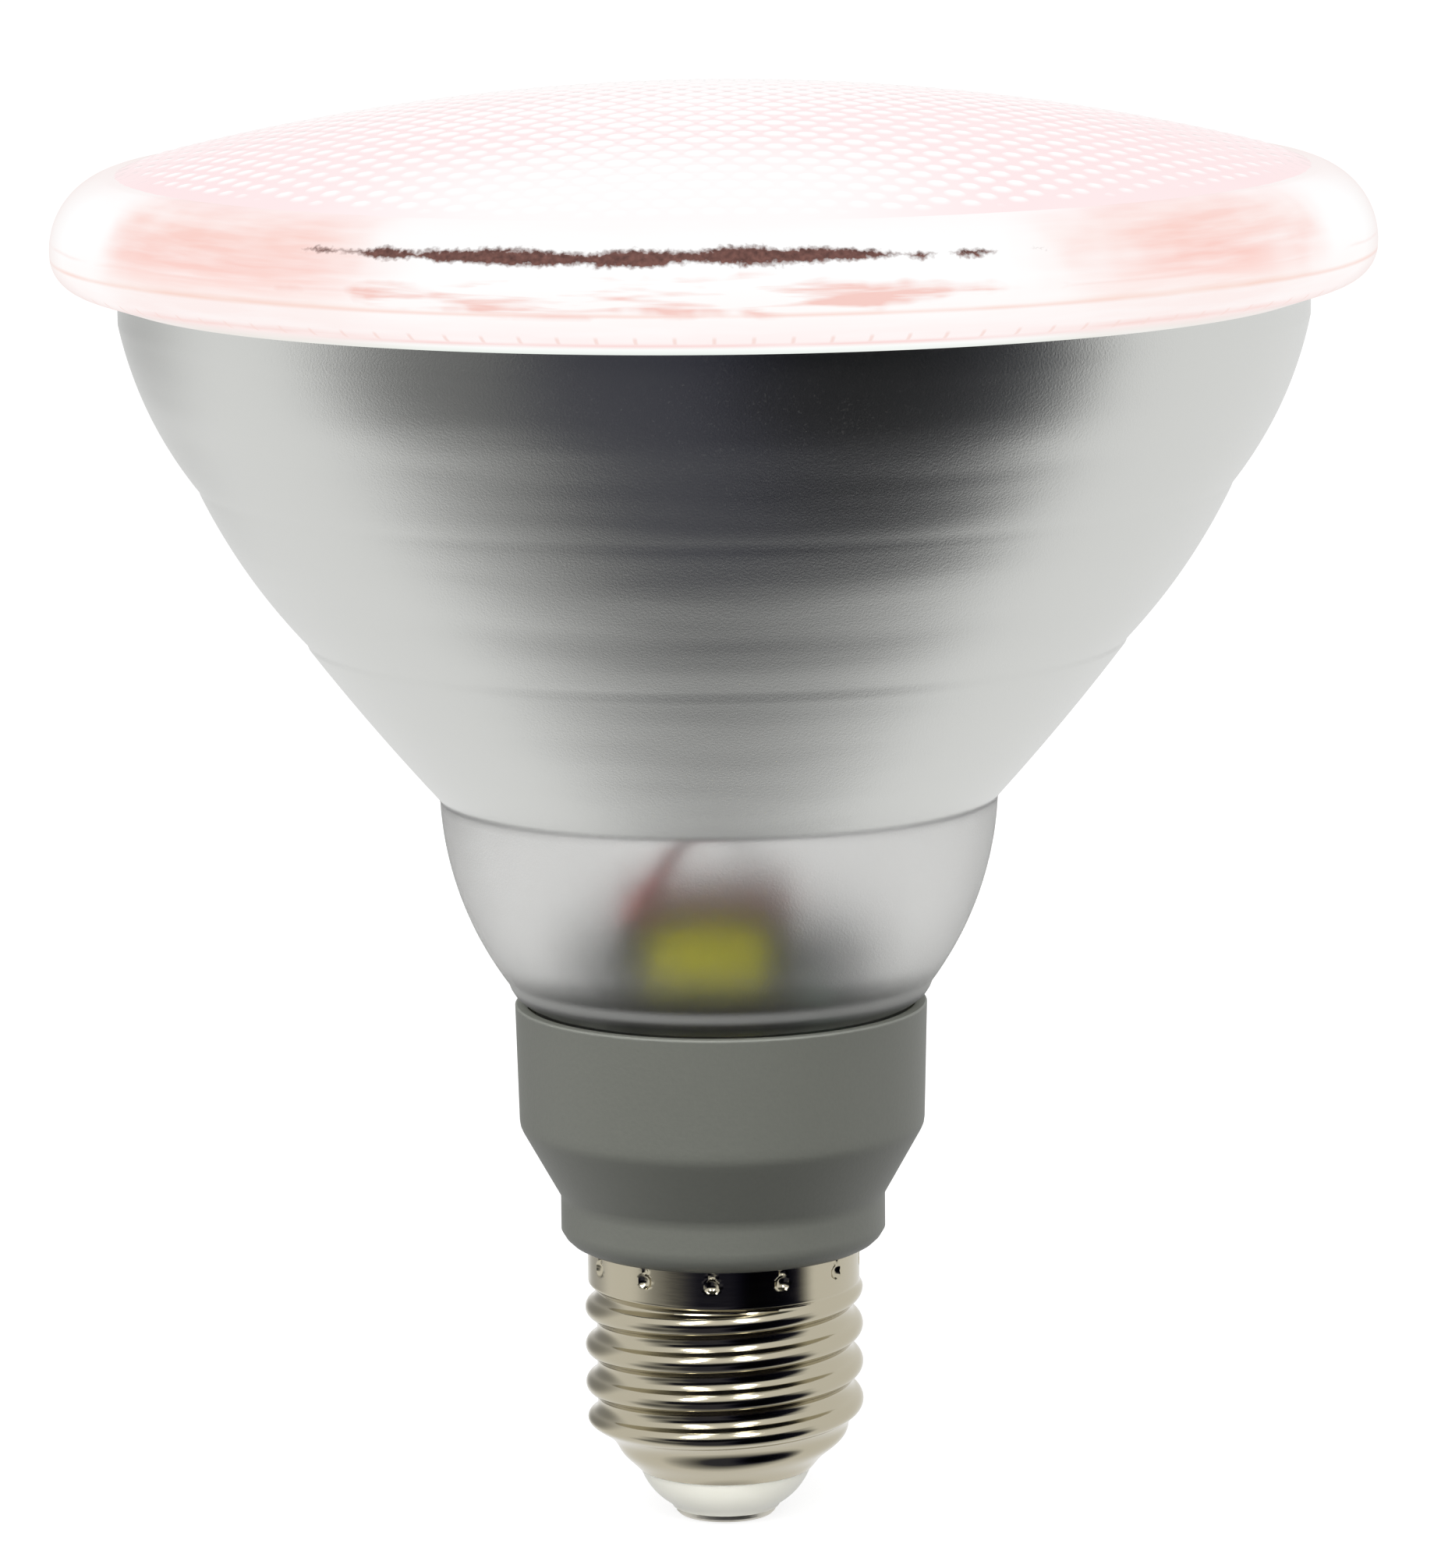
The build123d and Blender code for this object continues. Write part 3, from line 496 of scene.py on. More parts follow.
    def build_rim(self) -> bpy.types.Material:
        """Build the rim's painted glow: bands by height, peach at four corners, and a dark broken line.

        The peach mask is -cos(4 * angle) and the dark line's mask cos(2 * (angle - turn)), both with
        noise, so front and back look alike. Noise sways the bands above the belt and frays the line.
        """
        material, add = new_material("lit_rim_glass")
        place = add("TexCoord", out="Object")
        axes = add("SeparateXYZ", (place,), None).outputs
        angle = add("Math", (axes["X"], axes["Y"]), operation="ARCTAN2")
        broad = add("TexNoise", {"Vector": place, "Scale": 1 / (9 * MM)})
        streaks = add("Mapping", {"Vector": place, "Scale": (0.08, 0.08, 1.0)})
        streak = add("TexNoise", {"Vector": streaks, "Scale": 1 / (0.9 * MM), "Detail": 3.0})
        fine = add("TexNoise", {"Vector": place, "Scale": 1 / (0.5 * MM), "Detail": 4.0})
        broken = add("TexNoise", {"Vector": place, "Scale": 1 / (4.5 * MM), "Detail": 2.0})
        reach = (self.swing * MM, -self.swing / 2 * MM)
        sway = add("Math", (broad, *reach), operation="MULTIPLY_ADD")
        fray = add("Math", (fine, *reach), operation="MULTIPLY_ADD")
        drift = add("Math", (sway, fray), operation="ADD")
        upper = add("MapRange", (axes["Z"], self.belt_z * MM, (self.belt_z + 2.5) * MM))
        frayed = add("Math", (drift, upper, axes["Z"]), operation="MULTIPLY_ADD")
        swayed = add("Math", (sway, upper, axes["Z"]), operation="MULTIPLY_ADD")
        twice = add("Math", (angle, 2.0, -2 * self.bond_turn), operation="MULTIPLY_ADD")
        facing = add("Math", (twice,), operation="COSINE")
        line_mask = add("MapRange", (facing, 0.25, 0.93, -0.3, 0.4))
        strength = add("Math", (broken, line_mask), operation="ADD")
        blush = self.stroke(add, swayed, self.blush_z, strength, self.blush_half)
        patchy = add("MapRange", (streak, 0.42, 0.6, 0.0, 0.8))
        # Painted light over the painted glow: white streaks and pink patches; then the faint ticks, the
        # dark broken line and painted shade along the edge
        layers = (
            (add("MapRange", (streak, 0.42, 0.75, 0.0, 0.45)), "#ffffff"),
            (self.ticked(add, axes["Z"], angle), "#f9e0db"),
            (add("Math", (blush, patchy), operation="MULTIPLY"), "#f4bfb5"),
            (
                self.stroke(add, frayed, self.bond_z, strength, self.bond_half),
                add("Mix", {0: fine, 6: "#2c1c1c", 7: "#94685f"}, 2, **COLOURS),
            ),
            (self.outline(add, 0.8), "#f0e2df"),
        )
        self.layered(add, self.banded(add, swayed, angle, broad), layers)
        return material

    def build_field(self, radius: float) -> bpy.types.Material:
        """Build the lenslets' painted glow: pink below a height that grows towards both sides, white above
        it.

        Painted light makes the far side paler and burns the front middle out to white.

        Args:
            radius: the field's radius in millimetres.
        Returns:
            The material.
        """
        material, add = new_material("lit_lenslet_glass")
        unit = radius * MM
        place = add("TexCoord", out="Object")
        axes = add("SeparateXYZ", (place,), None).outputs
        crown = add("Attribute", out="Fac", attribute_name="crown")
        clouds = add("TexNoise", {"Vector": place, "Scale": 1 / (18 * MM)})
        shifted = add("Math", (axes["X"], -0.1 * unit), operation="SUBTRACT")
        sideways = add("Math", (shifted,), operation="ABSOLUTE")
        across = add("MapRange", (sideways, 0.1 * unit, 0.85 * unit, 0.12, 0.48))
        edge = add("Math", (clouds, 0.45, across), operation="MULTIPLY_ADD")
        top = add("Math", (edge, 0.3), operation="ADD")
        middle = add("MapRange", (sideways, 0.2 * unit, 0.62 * unit, 0.85, 0.0), **SOFT)
        near = add("MapRange", (axes["Y"], -0.45 * unit, -0.85 * unit), **SOFT)
        # Painted light: white crowns, a paler far side, a white front middle, and painted shade along the
        # edge
        layers = (
            (add("MapRange", (crown, edge, top)), "#fffefe"),
            (add("MapRange", (axes["Y"], -0.2 * unit, 0.5 * unit, 0.0, 0.75)), "#fef8f8"),
            (add("Math", (middle, near), operation="MULTIPLY"), "#fffefe"),
            (self.outline(add, 0.9), "#dcd7d5"),
        )
        valley = add("Mix", {0: clouds, 6: "#fde4e6", 7: "#feeff0"}, 2, **COLOURS)
        self.layered(add, valley, layers)
        return material


@dataclass(frozen=True)
class NickelPlate:
    """Bright nickel on rolled sheet: a warm mirror with faint rolling lines round the cap."""

    tone: str = "#bcb5a0"
    line_mm: float = 0.5
    line_stretch: float = 0.15
    smoothest: float = 0.08
    roughest: float = 0.16

    def build(self) -> bpy.types.Material:
        """Build a metal whose roughness and height follow fine lines across the axis."""
        material, add = new_material("bright_nickel_plate")
        place = add("TexCoord", out="Object")
        stretched = add("Mapping", {"Vector": place, "Scale": (self.line_stretch, self.line_stretch, 1.0)})
        lines = add("TexNoise", {"Vector": stretched, "Scale": 1 / (self.line_mm * MM), "Detail": 2.0})
        look = {
            "Base Color": self.tone,
            "Metallic": 1.0,
            "Roughness": add("MapRange", (lines, 0.0, 1.0, self.smoothest, self.roughest)),
            "Normal": add("Bump", {"Height": lines, "Strength": 0.02, "Distance": 0.2 * MM}),
        }
        add("OutputMaterial", (add("BsdfPrincipled", look),), None)
        return material


@dataclass
class GlassBody:
    """The stepped funnel, its bowl and its neck, turned in one piece of glass.

    Lengths are millimetres. A ring is (radius, height, bow of the step above it), from the shoulder
    up. A wave of the silver is (height, half width, degrees).
    """

    neck_r: float = 17.4
    lip_z: float = 43.9
    rim_z: float = 49.3
    foot_bow: float = 0.5
    bowl_foot_r: float = 19.9
    bowl_z: float = 51.5
    bowl_bow: float = 1.35
    bowl_wall: float = 2.5
    bowl_ease: float = 0.55
    bead_drop: float = 0.1
    rings: Runs = ((26.0, 68.7, 0.2), (38.0, 83.6, 0.65), (47.7, 98.1, 1.0))
    top_r: float = 54.9
    top_z: float = 113.9
    edge_z: float = 116.9
    land: float = 0.5
    land_out: float = 0.2
    wall: float = 2.2
    ledge: float = 3.27
    ledge_in: float = 0.3
    inner_bows: tuple[float, float] = (-1.0, -0.8)
    step_share: float = 0.26
    waves: Runs = (
        (89.0, 1.5, 1.2),
        (92.0, 2.8, -3.0),
        (97.0, 1.5, -1.0),
        (100.8, 1.8, 2.2),
        (106.3, 2.0, -3.8),
        (111.5, 2.4, 2.0),
    )
    segments: int = 192

    def mirror_normals(self, profile: np.ndarray) -> np.ndarray:
        """Normals of the smooth silvered funnel behind the stepped outside.

        The funnel's radius is the parabola through the rings. Its normal takes a small share of the
        outer profile's own normal, and tilts by the few degrees of each wave that pressing leaves:
        a bell curve along the axis.

        Args:
            profile: (radius, height) points of the whole loop.
        Returns:
            Vectors as (points, segments, 3).
        """
        rings_r = [ring[0] for ring in self.rings] + [self.top_r]
        rings_z = [ring[1] for ring in self.rings] + [self.top_z]
        funnel = np.polyder(np.polyfit(rings_z, rings_r, 2))
        height = np.clip(profile[:, 1], rings_z[0], self.top_z)
        slope = np.arctan(np.polyval(funnel, height))
        for middle, spread, degrees in self.waves:
            slope -= math.radians(degrees) * np.exp(-(((height - middle) / spread) ** 2))
        run = np.roll(profile, -1, axis=0) - np.roll(profile, 1, axis=0)
        run /= np.maximum(np.hypot(run[:, 0], run[:, 1]), 1e-6)[:, None]
        out = np.cos(slope) * (1 - self.step_share) + run[:, 1] * self.step_share
        rise = -np.sin(slope) * (1 - self.step_share) - run[:, 0] * self.step_share
        pairs = np.stack([out, rise], axis=-1) / np.hypot(out, rise)[:, None]
        return turned(pairs, self.segments)

    def outer_runs(self) -> Runs:
        """Runs of the outside, from the neck's lip up to the edge that carries the lens."""
        lands = []
        for radius, height, bow in self.rings:
            lands += [(radius, height, 0.0), (radius + self.land_out, height + self.land, bow)]
        return (
            (self.neck_r - self.wall, self.lip_z, 0.0),
            (self.neck_r, self.lip_z, 0.0),
            (self.neck_r, self.rim_z, self.foot_bow),
            (self.bowl_foot_r, self.bowl_z, self.bowl_bow),
            *lands,
            (self.top_r, self.top_z, 0.0),
            (self.top_r, self.edge_z, 0.0),
        )

    def inner_runs(self) -> Runs:
        """Runs of the inside, from the edge down past the ledge to the neck."""
        (shoulder_r, shoulder_z, _), (middle_r, middle_z, _), (upper_r, upper_z, _) = self.rings
        slant = self.wall / math.cos(math.atan2(upper_r - shoulder_r, upper_z - shoulder_z))
        bore_r = shoulder_r - self.wall
        ledge_z = shoulder_z + self.ledge
        top_bow, upper_bow = self.inner_bows
        return (
            (self.top_r - self.wall, self.edge_z, 0.0),
            (self.top_r - self.wall, self.top_z, top_bow),
            (upper_r - slant, upper_z + self.land / 2, upper_bow),
            (middle_r - slant, middle_z + self.land / 2, 0.0),
            (shoulder_r - self.ledge_in, ledge_z, 0.0),
            (bore_r, ledge_z, 0.0),
            (bore_r, shoulder_z, -self.bowl_bow),
            (self.bowl_foot_r - self.bowl_wall, self.bowl_z + self.bowl_ease, 0.0),
            (self.neck_r - self.wall, self.bowl_z - self.bowl_ease, 0.0),
        )

    def build(self) -> bpy.types.Object:
        """Turn the outer profile up and the inner one down, and give each its own glass."""
        up = profile_from_runs(self.outer_runs(), 0.6, False)
        down = profile_from_runs(self.inner_runs(), 1.5, False)
        profile = np.concatenate([up, down])
        piece = lathe_object("glass_body", profile, self.segments, True)
        normals = piece.data.attributes.new("mirror_normal", "FLOAT_VECTOR", "POINT")
        normals.data.foreach_set("vector", self.mirror_normals(profile).astype(np.float32).ravel())
        outside = FrostedGlass(self.rings[0][1] + self.land, self.rim_z, self.bowl_z - self.bead_drop)
        piece.data.materials.append(outside.build())
        piece.data.materials.append(ClearGlass().build())
        slots = np.zeros(len(piece.data.polygons), dtype=np.int32)
        slots[len(up) * self.segments :] = 1
        piece.data.polygons.foreach_set("material_index", slots)
        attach(piece, "root")
        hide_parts("body_shell")
        return piece


@dataclass
class PressedLens:
    """The lit front glass: a shallow dome of hexagonal lenslets inside a smooth rounded rim."""

    outer_r: float = 61.0
    edge_r: float = 56.0
    lip_r: float = 58.8
    skirt_r: float = 55.1
    skirt_z: float = 116.1
    lip_z: float = 117.3
    lip_bow: float = 0.6
    belt_z: float = 120.3
    rim_bow: float = 1.5
    edge_z: float = 127.47
    crown_z: float = 134.9
    rebate_z: float = 117.5
    bore_r: float = 52.1
    thickness: float = 3.2
    field_r: float = 55.6
    pitch: float = 2.77
    crown_height: float = 0.42
    crown_foot: float = 0.08
    crown_share: float = 0.9
    dome_rings: int = 40
    steps: int = 4
    segments: int = 224

    def dome_height(self, radius: np.ndarray) -> np.ndarray:
        """Height of the sphere that passes through the crown and the dome's edge."""
        rise = self.crown_z - self.edge_z
        ball = (self.edge_r**2 + rise**2) / (2 * rise)
        return self.crown_z - ball + np.sqrt(ball**2 - radius**2)

    def glass(self) -> LitLensGlass:
        """The lit glass, with its bands between the skirt and the dome's foot."""
        return LitLensGlass(math.floor(self.skirt_z), math.ceil(self.edge_z), self.belt_z)

    def build_rim(self) -> bpy.types.Object:
        """Turn the whole lens body; the dome lies one crown height below the lenslets' tops."""
        radii = np.linspace(self.edge_r, 0, self.dome_rings)
        sink = self.crown_height * np.clip((self.edge_r - radii) / (self.edge_r - self.field_r), 0, 1)
        dome = np.stack([radii, self.dome_height(radii) - sink], axis=-1)
        runs = (
            (self.bore_r, self.rebate_z, 0.0),
            (self.skirt_r, self.rebate_z, 0.0),
            (self.skirt_r, self.skirt_z, 0.0),
            (self.lip_r, self.lip_z, self.lip_bow),
            (self.outer_r, self.belt_z, self.rim_bow),
            (self.edge_r, self.edge_z, 0.0),
        )
        outside = profile_from_runs(runs, 0.4, False)[:-1]
        bore = radii[::-1][:-3]
        bore = bore[bore < self.bore_r]
        under = np.stack([bore, self.dome_height(bore) - self.thickness - self.crown_height], axis=-1)
        piece = lathe_object("lens_rim", np.concatenate([under, outside, dome]), self.segments, False)
        piece.data.materials.append(self.glass().build_rim())
        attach(piece, "root")
        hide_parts("lens")
        return piece

    def build_lenslets(self) -> bpy.types.Object:
        """Raise the lenslets as one height field on a triangular lattice.

        With d the distance from a lattice point to the nearest hexagon's centre, and c the value
        1 - (d / (pitch / sqrt 3)) squared, the height above the sunken dome is the crown height
        times foot + share * c. Over the last pitch before the field's edge c fades to 0.
        """
        space = self.pitch / self.steps
        reach = int(self.field_r / space * 1.2) + 2
        i, j = np.meshgrid(np.arange(-reach, reach + 1), np.arange(-reach, reach + 1), indexing="ij")
        x = space * (i + j / 2)
        y = space * j * math.sqrt(3) / 2
        radius = np.hypot(x, y)
        inside = radius <= self.field_r
        a, b = i / self.steps, j / self.steps
        gaps = []
        for shift_a, shift_b in ((0, 0), (1, 0), (0, 1), (1, 1)):
            da, db = a - np.floor(a) - shift_a, b - np.floor(b) - shift_b
            gaps.append(self.pitch * np.sqrt(da**2 + da * db + db**2))
        crown = 1 - (np.min(gaps, axis=0) / (self.pitch / math.sqrt(3))) ** 2
        fade = np.clip((self.field_r - radius) / self.pitch, 0, 1)
        lift = self.crown_height * (self.crown_foot + self.crown_share * crown * fade)
        z = self.dome_height(np.minimum(radius, self.field_r)) - self.crown_height + lift
        number = np.cumsum(inside.ravel()).reshape(inside.shape) - 1
        here, after = slice(None, -1), slice(1, None)
        cell, east, north, far = (here, here), (after, here), (here, after), (after, after)
        faces = []
        for corners in ((cell, east, north), (east, far, north)):
            whole = np.all([inside[corner] for corner in corners], axis=0)
            faces.append(np.stack([number[corner] for corner in corners], axis=-1)[whole])
        points = np.stack([x, y, z], axis=-1)[inside]
        piece = mesh_object("lens_lenslets", points, np.concatenate(faces), Shading.SMOOTH)
        values = piece.data.attributes.new("crown", "FLOAT", "POINT")
        values.data.foreach_set("value", (crown * fade)[inside].astype(np.float32))
        piece.data.materials.append(self.glass().build_field(self.field_r))
        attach(piece, "root")
        return piece


@dataclass
class PlasticCollar:
    """The grey cup between the glass neck and the cap."""

    foot_bore_r: float = 10.45
    foot_r: float = 13.0
    foot_bow: float = 0.4
    band_r: float = 15.25
    wall_r: float = 19.0
    rim_r: float = 19.3
    rim_edge: float = 0.15
    bore_r: float = 18.3
    foot_z: float = 26.1
    bore_foot_z: float = 28.0
    band_z: float = 27.7
    cone_z: float = 31.0
    wall_z: float = 37.7
    rim_z: float = 49.3
    segments: int = 160

    def build(self) -> bpy.types.Object:
        """Turn the cup from its foot to its rim and back down inside, with eased corners."""
        runs = (
            (self.foot_bore_r, self.foot_z, 0.0),
            (self.foot_r, self.foot_z, self.foot_bow),
            (self.band_r, self.band_z, 0.0),
            (self.band_r, self.cone_z, 0.0),
            # The eased corner between the cone and the wall
            (self.wall_r - 0.24, self.wall_z - 0.43, 0.06),
            (self.wall_r + 0.02, self.wall_z + 0.49, 0.0),
            (self.rim_r, self.rim_z - self.rim_edge, 0.04),
            (self.rim_r - self.rim_edge, self.rim_z, 0.0),
            (self.bore_r, self.rim_z, 0.0),
            (self.bore_r, self.wall_z, 0.0),
            (self.foot_bore_r, self.bore_foot_z, 0.0),
        )
        piece = lathe_object("collar_cup", profile_from_runs(runs, 0.7, True), self.segments, True)
        # Moulded plastic: an even grey with a fine grain, and a paler band with broken specks at the rim's
        # top
        finish = LevelledFinish(
            "moulded_grey_pbt", "#6c6e67", "#72746c", 0.4, 0.5, grain=0.06,
            level_z=self.rim_z - 0.2, change_mm=0.2, level_tone="#80827b",
        )
        piece.data.materials.append(finish.build())
        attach(piece, "root")
        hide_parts("collar")
        return piece


@dataclass
class ScrewCap:
    """The rolled shell with its helical thread and punched crimps, and the white insulator.

    Lengths are millimetres. A crimp's dip is (height above the crimp, radius, depth), and the
    insulator is a loop of runs.
    """

    crest_r: float = 13.1
    depth: float = 1.095
    arc_r: float = 1.025
    pitch: float = 3.629
    mouth_r: float = 8.3
    skirt_r: float = 12.8
    mouth_z: float = 4.6
    thread_z: float = 8.6
    skirt_z: float = 22.7
    skirt_ease: float = 0.9
    foot_z: float = 26.1
    sheet: float = 0.42
    start_z: float = 3.671
    run_out: float = 0.42
    blend: float = 0.25
    crimp_count: int = 12
    crimp_dips: Runs = ((0.0, 0.72, 0.42), (1.0, 0.36, 0.22))
    crimp_z: float = 24.75
    crimp_turn: float = math.radians(-95)
    segments: int = 384
    rows: int = 200
    inner_rows: int = 24
    insulator: Runs = (
        (2.0, 0.6, 0.0),
        (4.6, 0.6, 0.18),
        (5.3, 1.1, 0.42),
        (8.1, 4.55, 0.0),
        (7.85, 4.62, 0.0),
        (10.6, 7.6, 0.0),
        (2.0, 7.6, 0.0),
    )
    insulator_segments: int = 128

    def shell_radius(self, angle: np.ndarray, height: np.ndarray) -> np.ndarray:
        """Radius of the shell's outer face.

        The thread is made of tangent arcs of one radius R, as in the E27 standard. At the distance
        a from a crest along the axis it is crest - R + sqrt(R*R - a*a) up to a quarter pitch, and
        the same arc turned over from there to the root. The crest climbs one pitch per turn. The
        mouth's cone cuts it, with a shallow wave of it left on. It eases into the skirt, and each
        crimp is a pair of round dips.

        Args:
            angle: angle about Z.
            height: height in millimetres.
        Returns:
            The radius in millimetres.
        """
        root = self.crest_r - self.depth
        turns = (height - self.start_z) / self.pitch - angle / TURN
        along = np.abs(turns - np.round(turns)) * self.pitch
        from_mid = np.minimum(along, self.pitch / 2 - along)
        sink = self.arc_r - np.sqrt(self.arc_r**2 - from_mid**2)
        thread = np.where(along < self.pitch / 4, self.crest_r - sink, root + sink)
        climb = (height - self.mouth_z) / (self.thread_z - self.mouth_z)
        cone = self.mouth_r + climb * (root - self.mouth_r + self.run_out * np.cos(TURN * turns))
        lower = -self.blend * np.logaddexp(-cone / self.blend, -thread / self.blend)
        ease = np.clip((height - self.skirt_z) / self.skirt_ease + 1, 0, 1)
        ease = ease * ease * (3 - 2 * ease)
        radius = lower * (1 - ease) + self.skirt_r * ease
        spacing = TURN / self.crimp_count
        around = (angle - self.crimp_turn + spacing / 2) % spacing - spacing / 2
        for lift, size, depth in self.crimp_dips:
            away = np.hypot(around * self.skirt_r, height - self.crimp_z - lift) / size
            radius = radius - depth * np.clip(1 - away**2, 0, 1) ** 0.7
        return radius

    def build_shell(self) -> bpy.types.Object:
        """Carry the shell's outer face up and its inner face down, a sheet's thickness inside."""
        angle = np.arange(self.segments) * TURN / self.segments
        up = np.linspace(self.mouth_z, self.foot_z, self.rows)
        down = np.linspace(self.foot_z, self.mouth_z, self.inner_rows)
        root = self.crest_r - self.depth
        inner_line = np.interp(down, [self.mouth_z, self.thread_z], [self.mouth_r, root]) - self.sheet
        turn, height = np.meshgrid(angle, np.concatenate([up, down]))
        outer = self.shell_radius(turn[: self.rows], height[: self.rows])
        inner = np.repeat(inner_line[:, None], self.segments, axis=1)
        radius = np.concatenate([outer, inner])
        points = np.stack([radius * np.cos(turn), radius * np.sin(turn), height], axis=-1)
        faces = grid_faces(len(radius), self.segments, True)
        piece = mesh_object("threaded_shell", points.reshape(-1, 3), faces, Shading.CREASED)
        piece.data.materials.append(NickelPlate().build())
        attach(piece, "root")
        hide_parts("screw_shell")
        return piece

    def build_insulator(self) -> bpy.types.Object:
        """Turn the white cone that carries the contact."""
        profile = profile_from_runs(self.insulator, 0.5, True)
        piece = lathe_object("white_insulator", profile, self.insulator_segments, True)
        # Fired and glazed ceramic: warm white with a soft gloss
        finish = MottledFinish("white_steatite", "#f6f5e8", "#faf9ee", 1.5, 0.3, grain=0.02)
        piece.data.materials.append(finish.build())
        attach(piece, "root")
        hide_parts("cap_insulator")
        return piece


class InnerFinish(Enum):
    """Finishes inside the lamp, each with what it gives the eye and the nodes that wear it."""

    # Turned metal: a soft silver sheen
    ALUMINIUM = MottledFinish("turned_aluminium", "#c8c9ca", "#b4b5b7", 0.8, 0.35, 1.0), "heat_spreader"
    # Printed lacquer on a board: even white or deep green with a slight gloss
    WHITE_MASK = MottledFinish("white_solder_mask", "#ececea", "#e2e2e0", 1.0, 0.4), "led_board"
    GREEN_MASK = MottledFinish("green_solder_mask", "#1d4a2a", "#173d22", 1.2, 0.35), "driver_board"
    # Phosphor in silicone: pale yellow squares
    PHOSPHOR = MottledFinish("diode_phosphor", "#f0dc8a", "#e8cf74", 0.6, 0.4), "led_emitters"
    # Plated and melted metals: grey, half bright
    ZINC = MottledFinish("zinc_plated_steel", "#c4c4be", "#aaa9a4", 0.5, 0.35, 1.0), "board_screws"
    SOLDER = MottledFinish("tin_solder", "#c9c9c9", "#b5b5b5", 0.4, 0.3, 1.0), "led_solder_joints"
    # Sintered powder: dull near-black, with red-brown tape over the upper yoke
    FERRITE = (
        LevelledFinish(
            "taped_sintered_ferrite", "#242122", "#1a1819", 0.5, 0.6,
            level_z=58.4, change_mm=0.4, level_tone="#b4432c",
        ),
        "transformer_core", "filter_choke",
    )
    # Moulded resin: brown-black, half matt
    BOBBIN = MottledFinish("black_phenolic_bobbin", "#201715", "#2a1e1b", 0.5, 0.5), "transformer_bobbin"
    # Wound film: glossy yellow that shows through the frost, with painted shade darkening its foot
    TAPE = (
        LevelledFinish(
            "yellow_polyester_tape", "#ded81c", "#cfc618", 1.2, 0.35,
            level_z=53.2, change_mm=-1.6, level_tone="#2c2d1c",
        ),
        "transformer_winding",
    )
    # Shrunk film over a can: smooth blue-black
    SLEEVE = (
        MottledFinish("dark_shrink_sleeve", "#17181f", "#1f2028", 1.0, 0.35),
        "input_capacitor", "output_capacitor",
    )
    # Moulded packages and dipped coats: matt black, half-bright brown, grey-green
    EPOXY = (
        MottledFinish("black_epoxy_moulding", "#151515", "#1d1d1d", 0.4, 0.6),
        "rectifier", "controller_chip", "switch_transistor",
    )
    FILM_BOX = MottledFinish("brown_dipped_film_box", "#5d2a18", "#6a3220", 0.8, 0.4), "film_capacitor"
    LACQUER = MottledFinish("grey_green_lacquer", "#5b7468", "#506659", 0.6, 0.45), "fuse_resistor"
    # Extruded insulation: soft and even. The red lead turns near-black below its loop
    RED_SILICONE = LevelledFinish(
        "red_silicone_insulation", "#e0282c", "#cc2024", 0.8, 0.5,
        level_z=59.5, change_mm=-1.0, level_tone="#1c1a1b",
    )
    BLACK_SILICONE = (
        MottledFinish("black_silicone_insulation", "#17171a", "#202024", 0.8, 0.5), "led_wire_black",
    )
    WHITE_SILICONE = (
        MottledFinish("white_silicone_insulation", "#e2e2de", "#d6d6d1", 0.8, 0.5),
        "live_wire", "neutral_wire",
    )
    # Set paste: a ring in the neck darkened to olive by painted shade, and a milky one under the lens
    CEMENT = MottledFinish("olive_neck_cement", "#34321a", "#282716", 0.8, 0.6), "collar_cement"
    SEALANT = MottledFinish("clear_silicone_sealant", "#d5d5d1", "#c9c9c4", 1.0, 0.5), "lens_seal"
    # Tinned sheet: a soft warm silver
    TINNED_BRASS = MottledFinish("tinned_brass", "#d8d5ca", "#c9c5b8", 0.6, 0.4, 1.0), "centre_contact"

    def __init__(self, finish: MottledFinish, *nodes: str) -> None:
        """Keep the finish and the names of the nodes that wear it."""
        self.finish = finish
        self.nodes = nodes


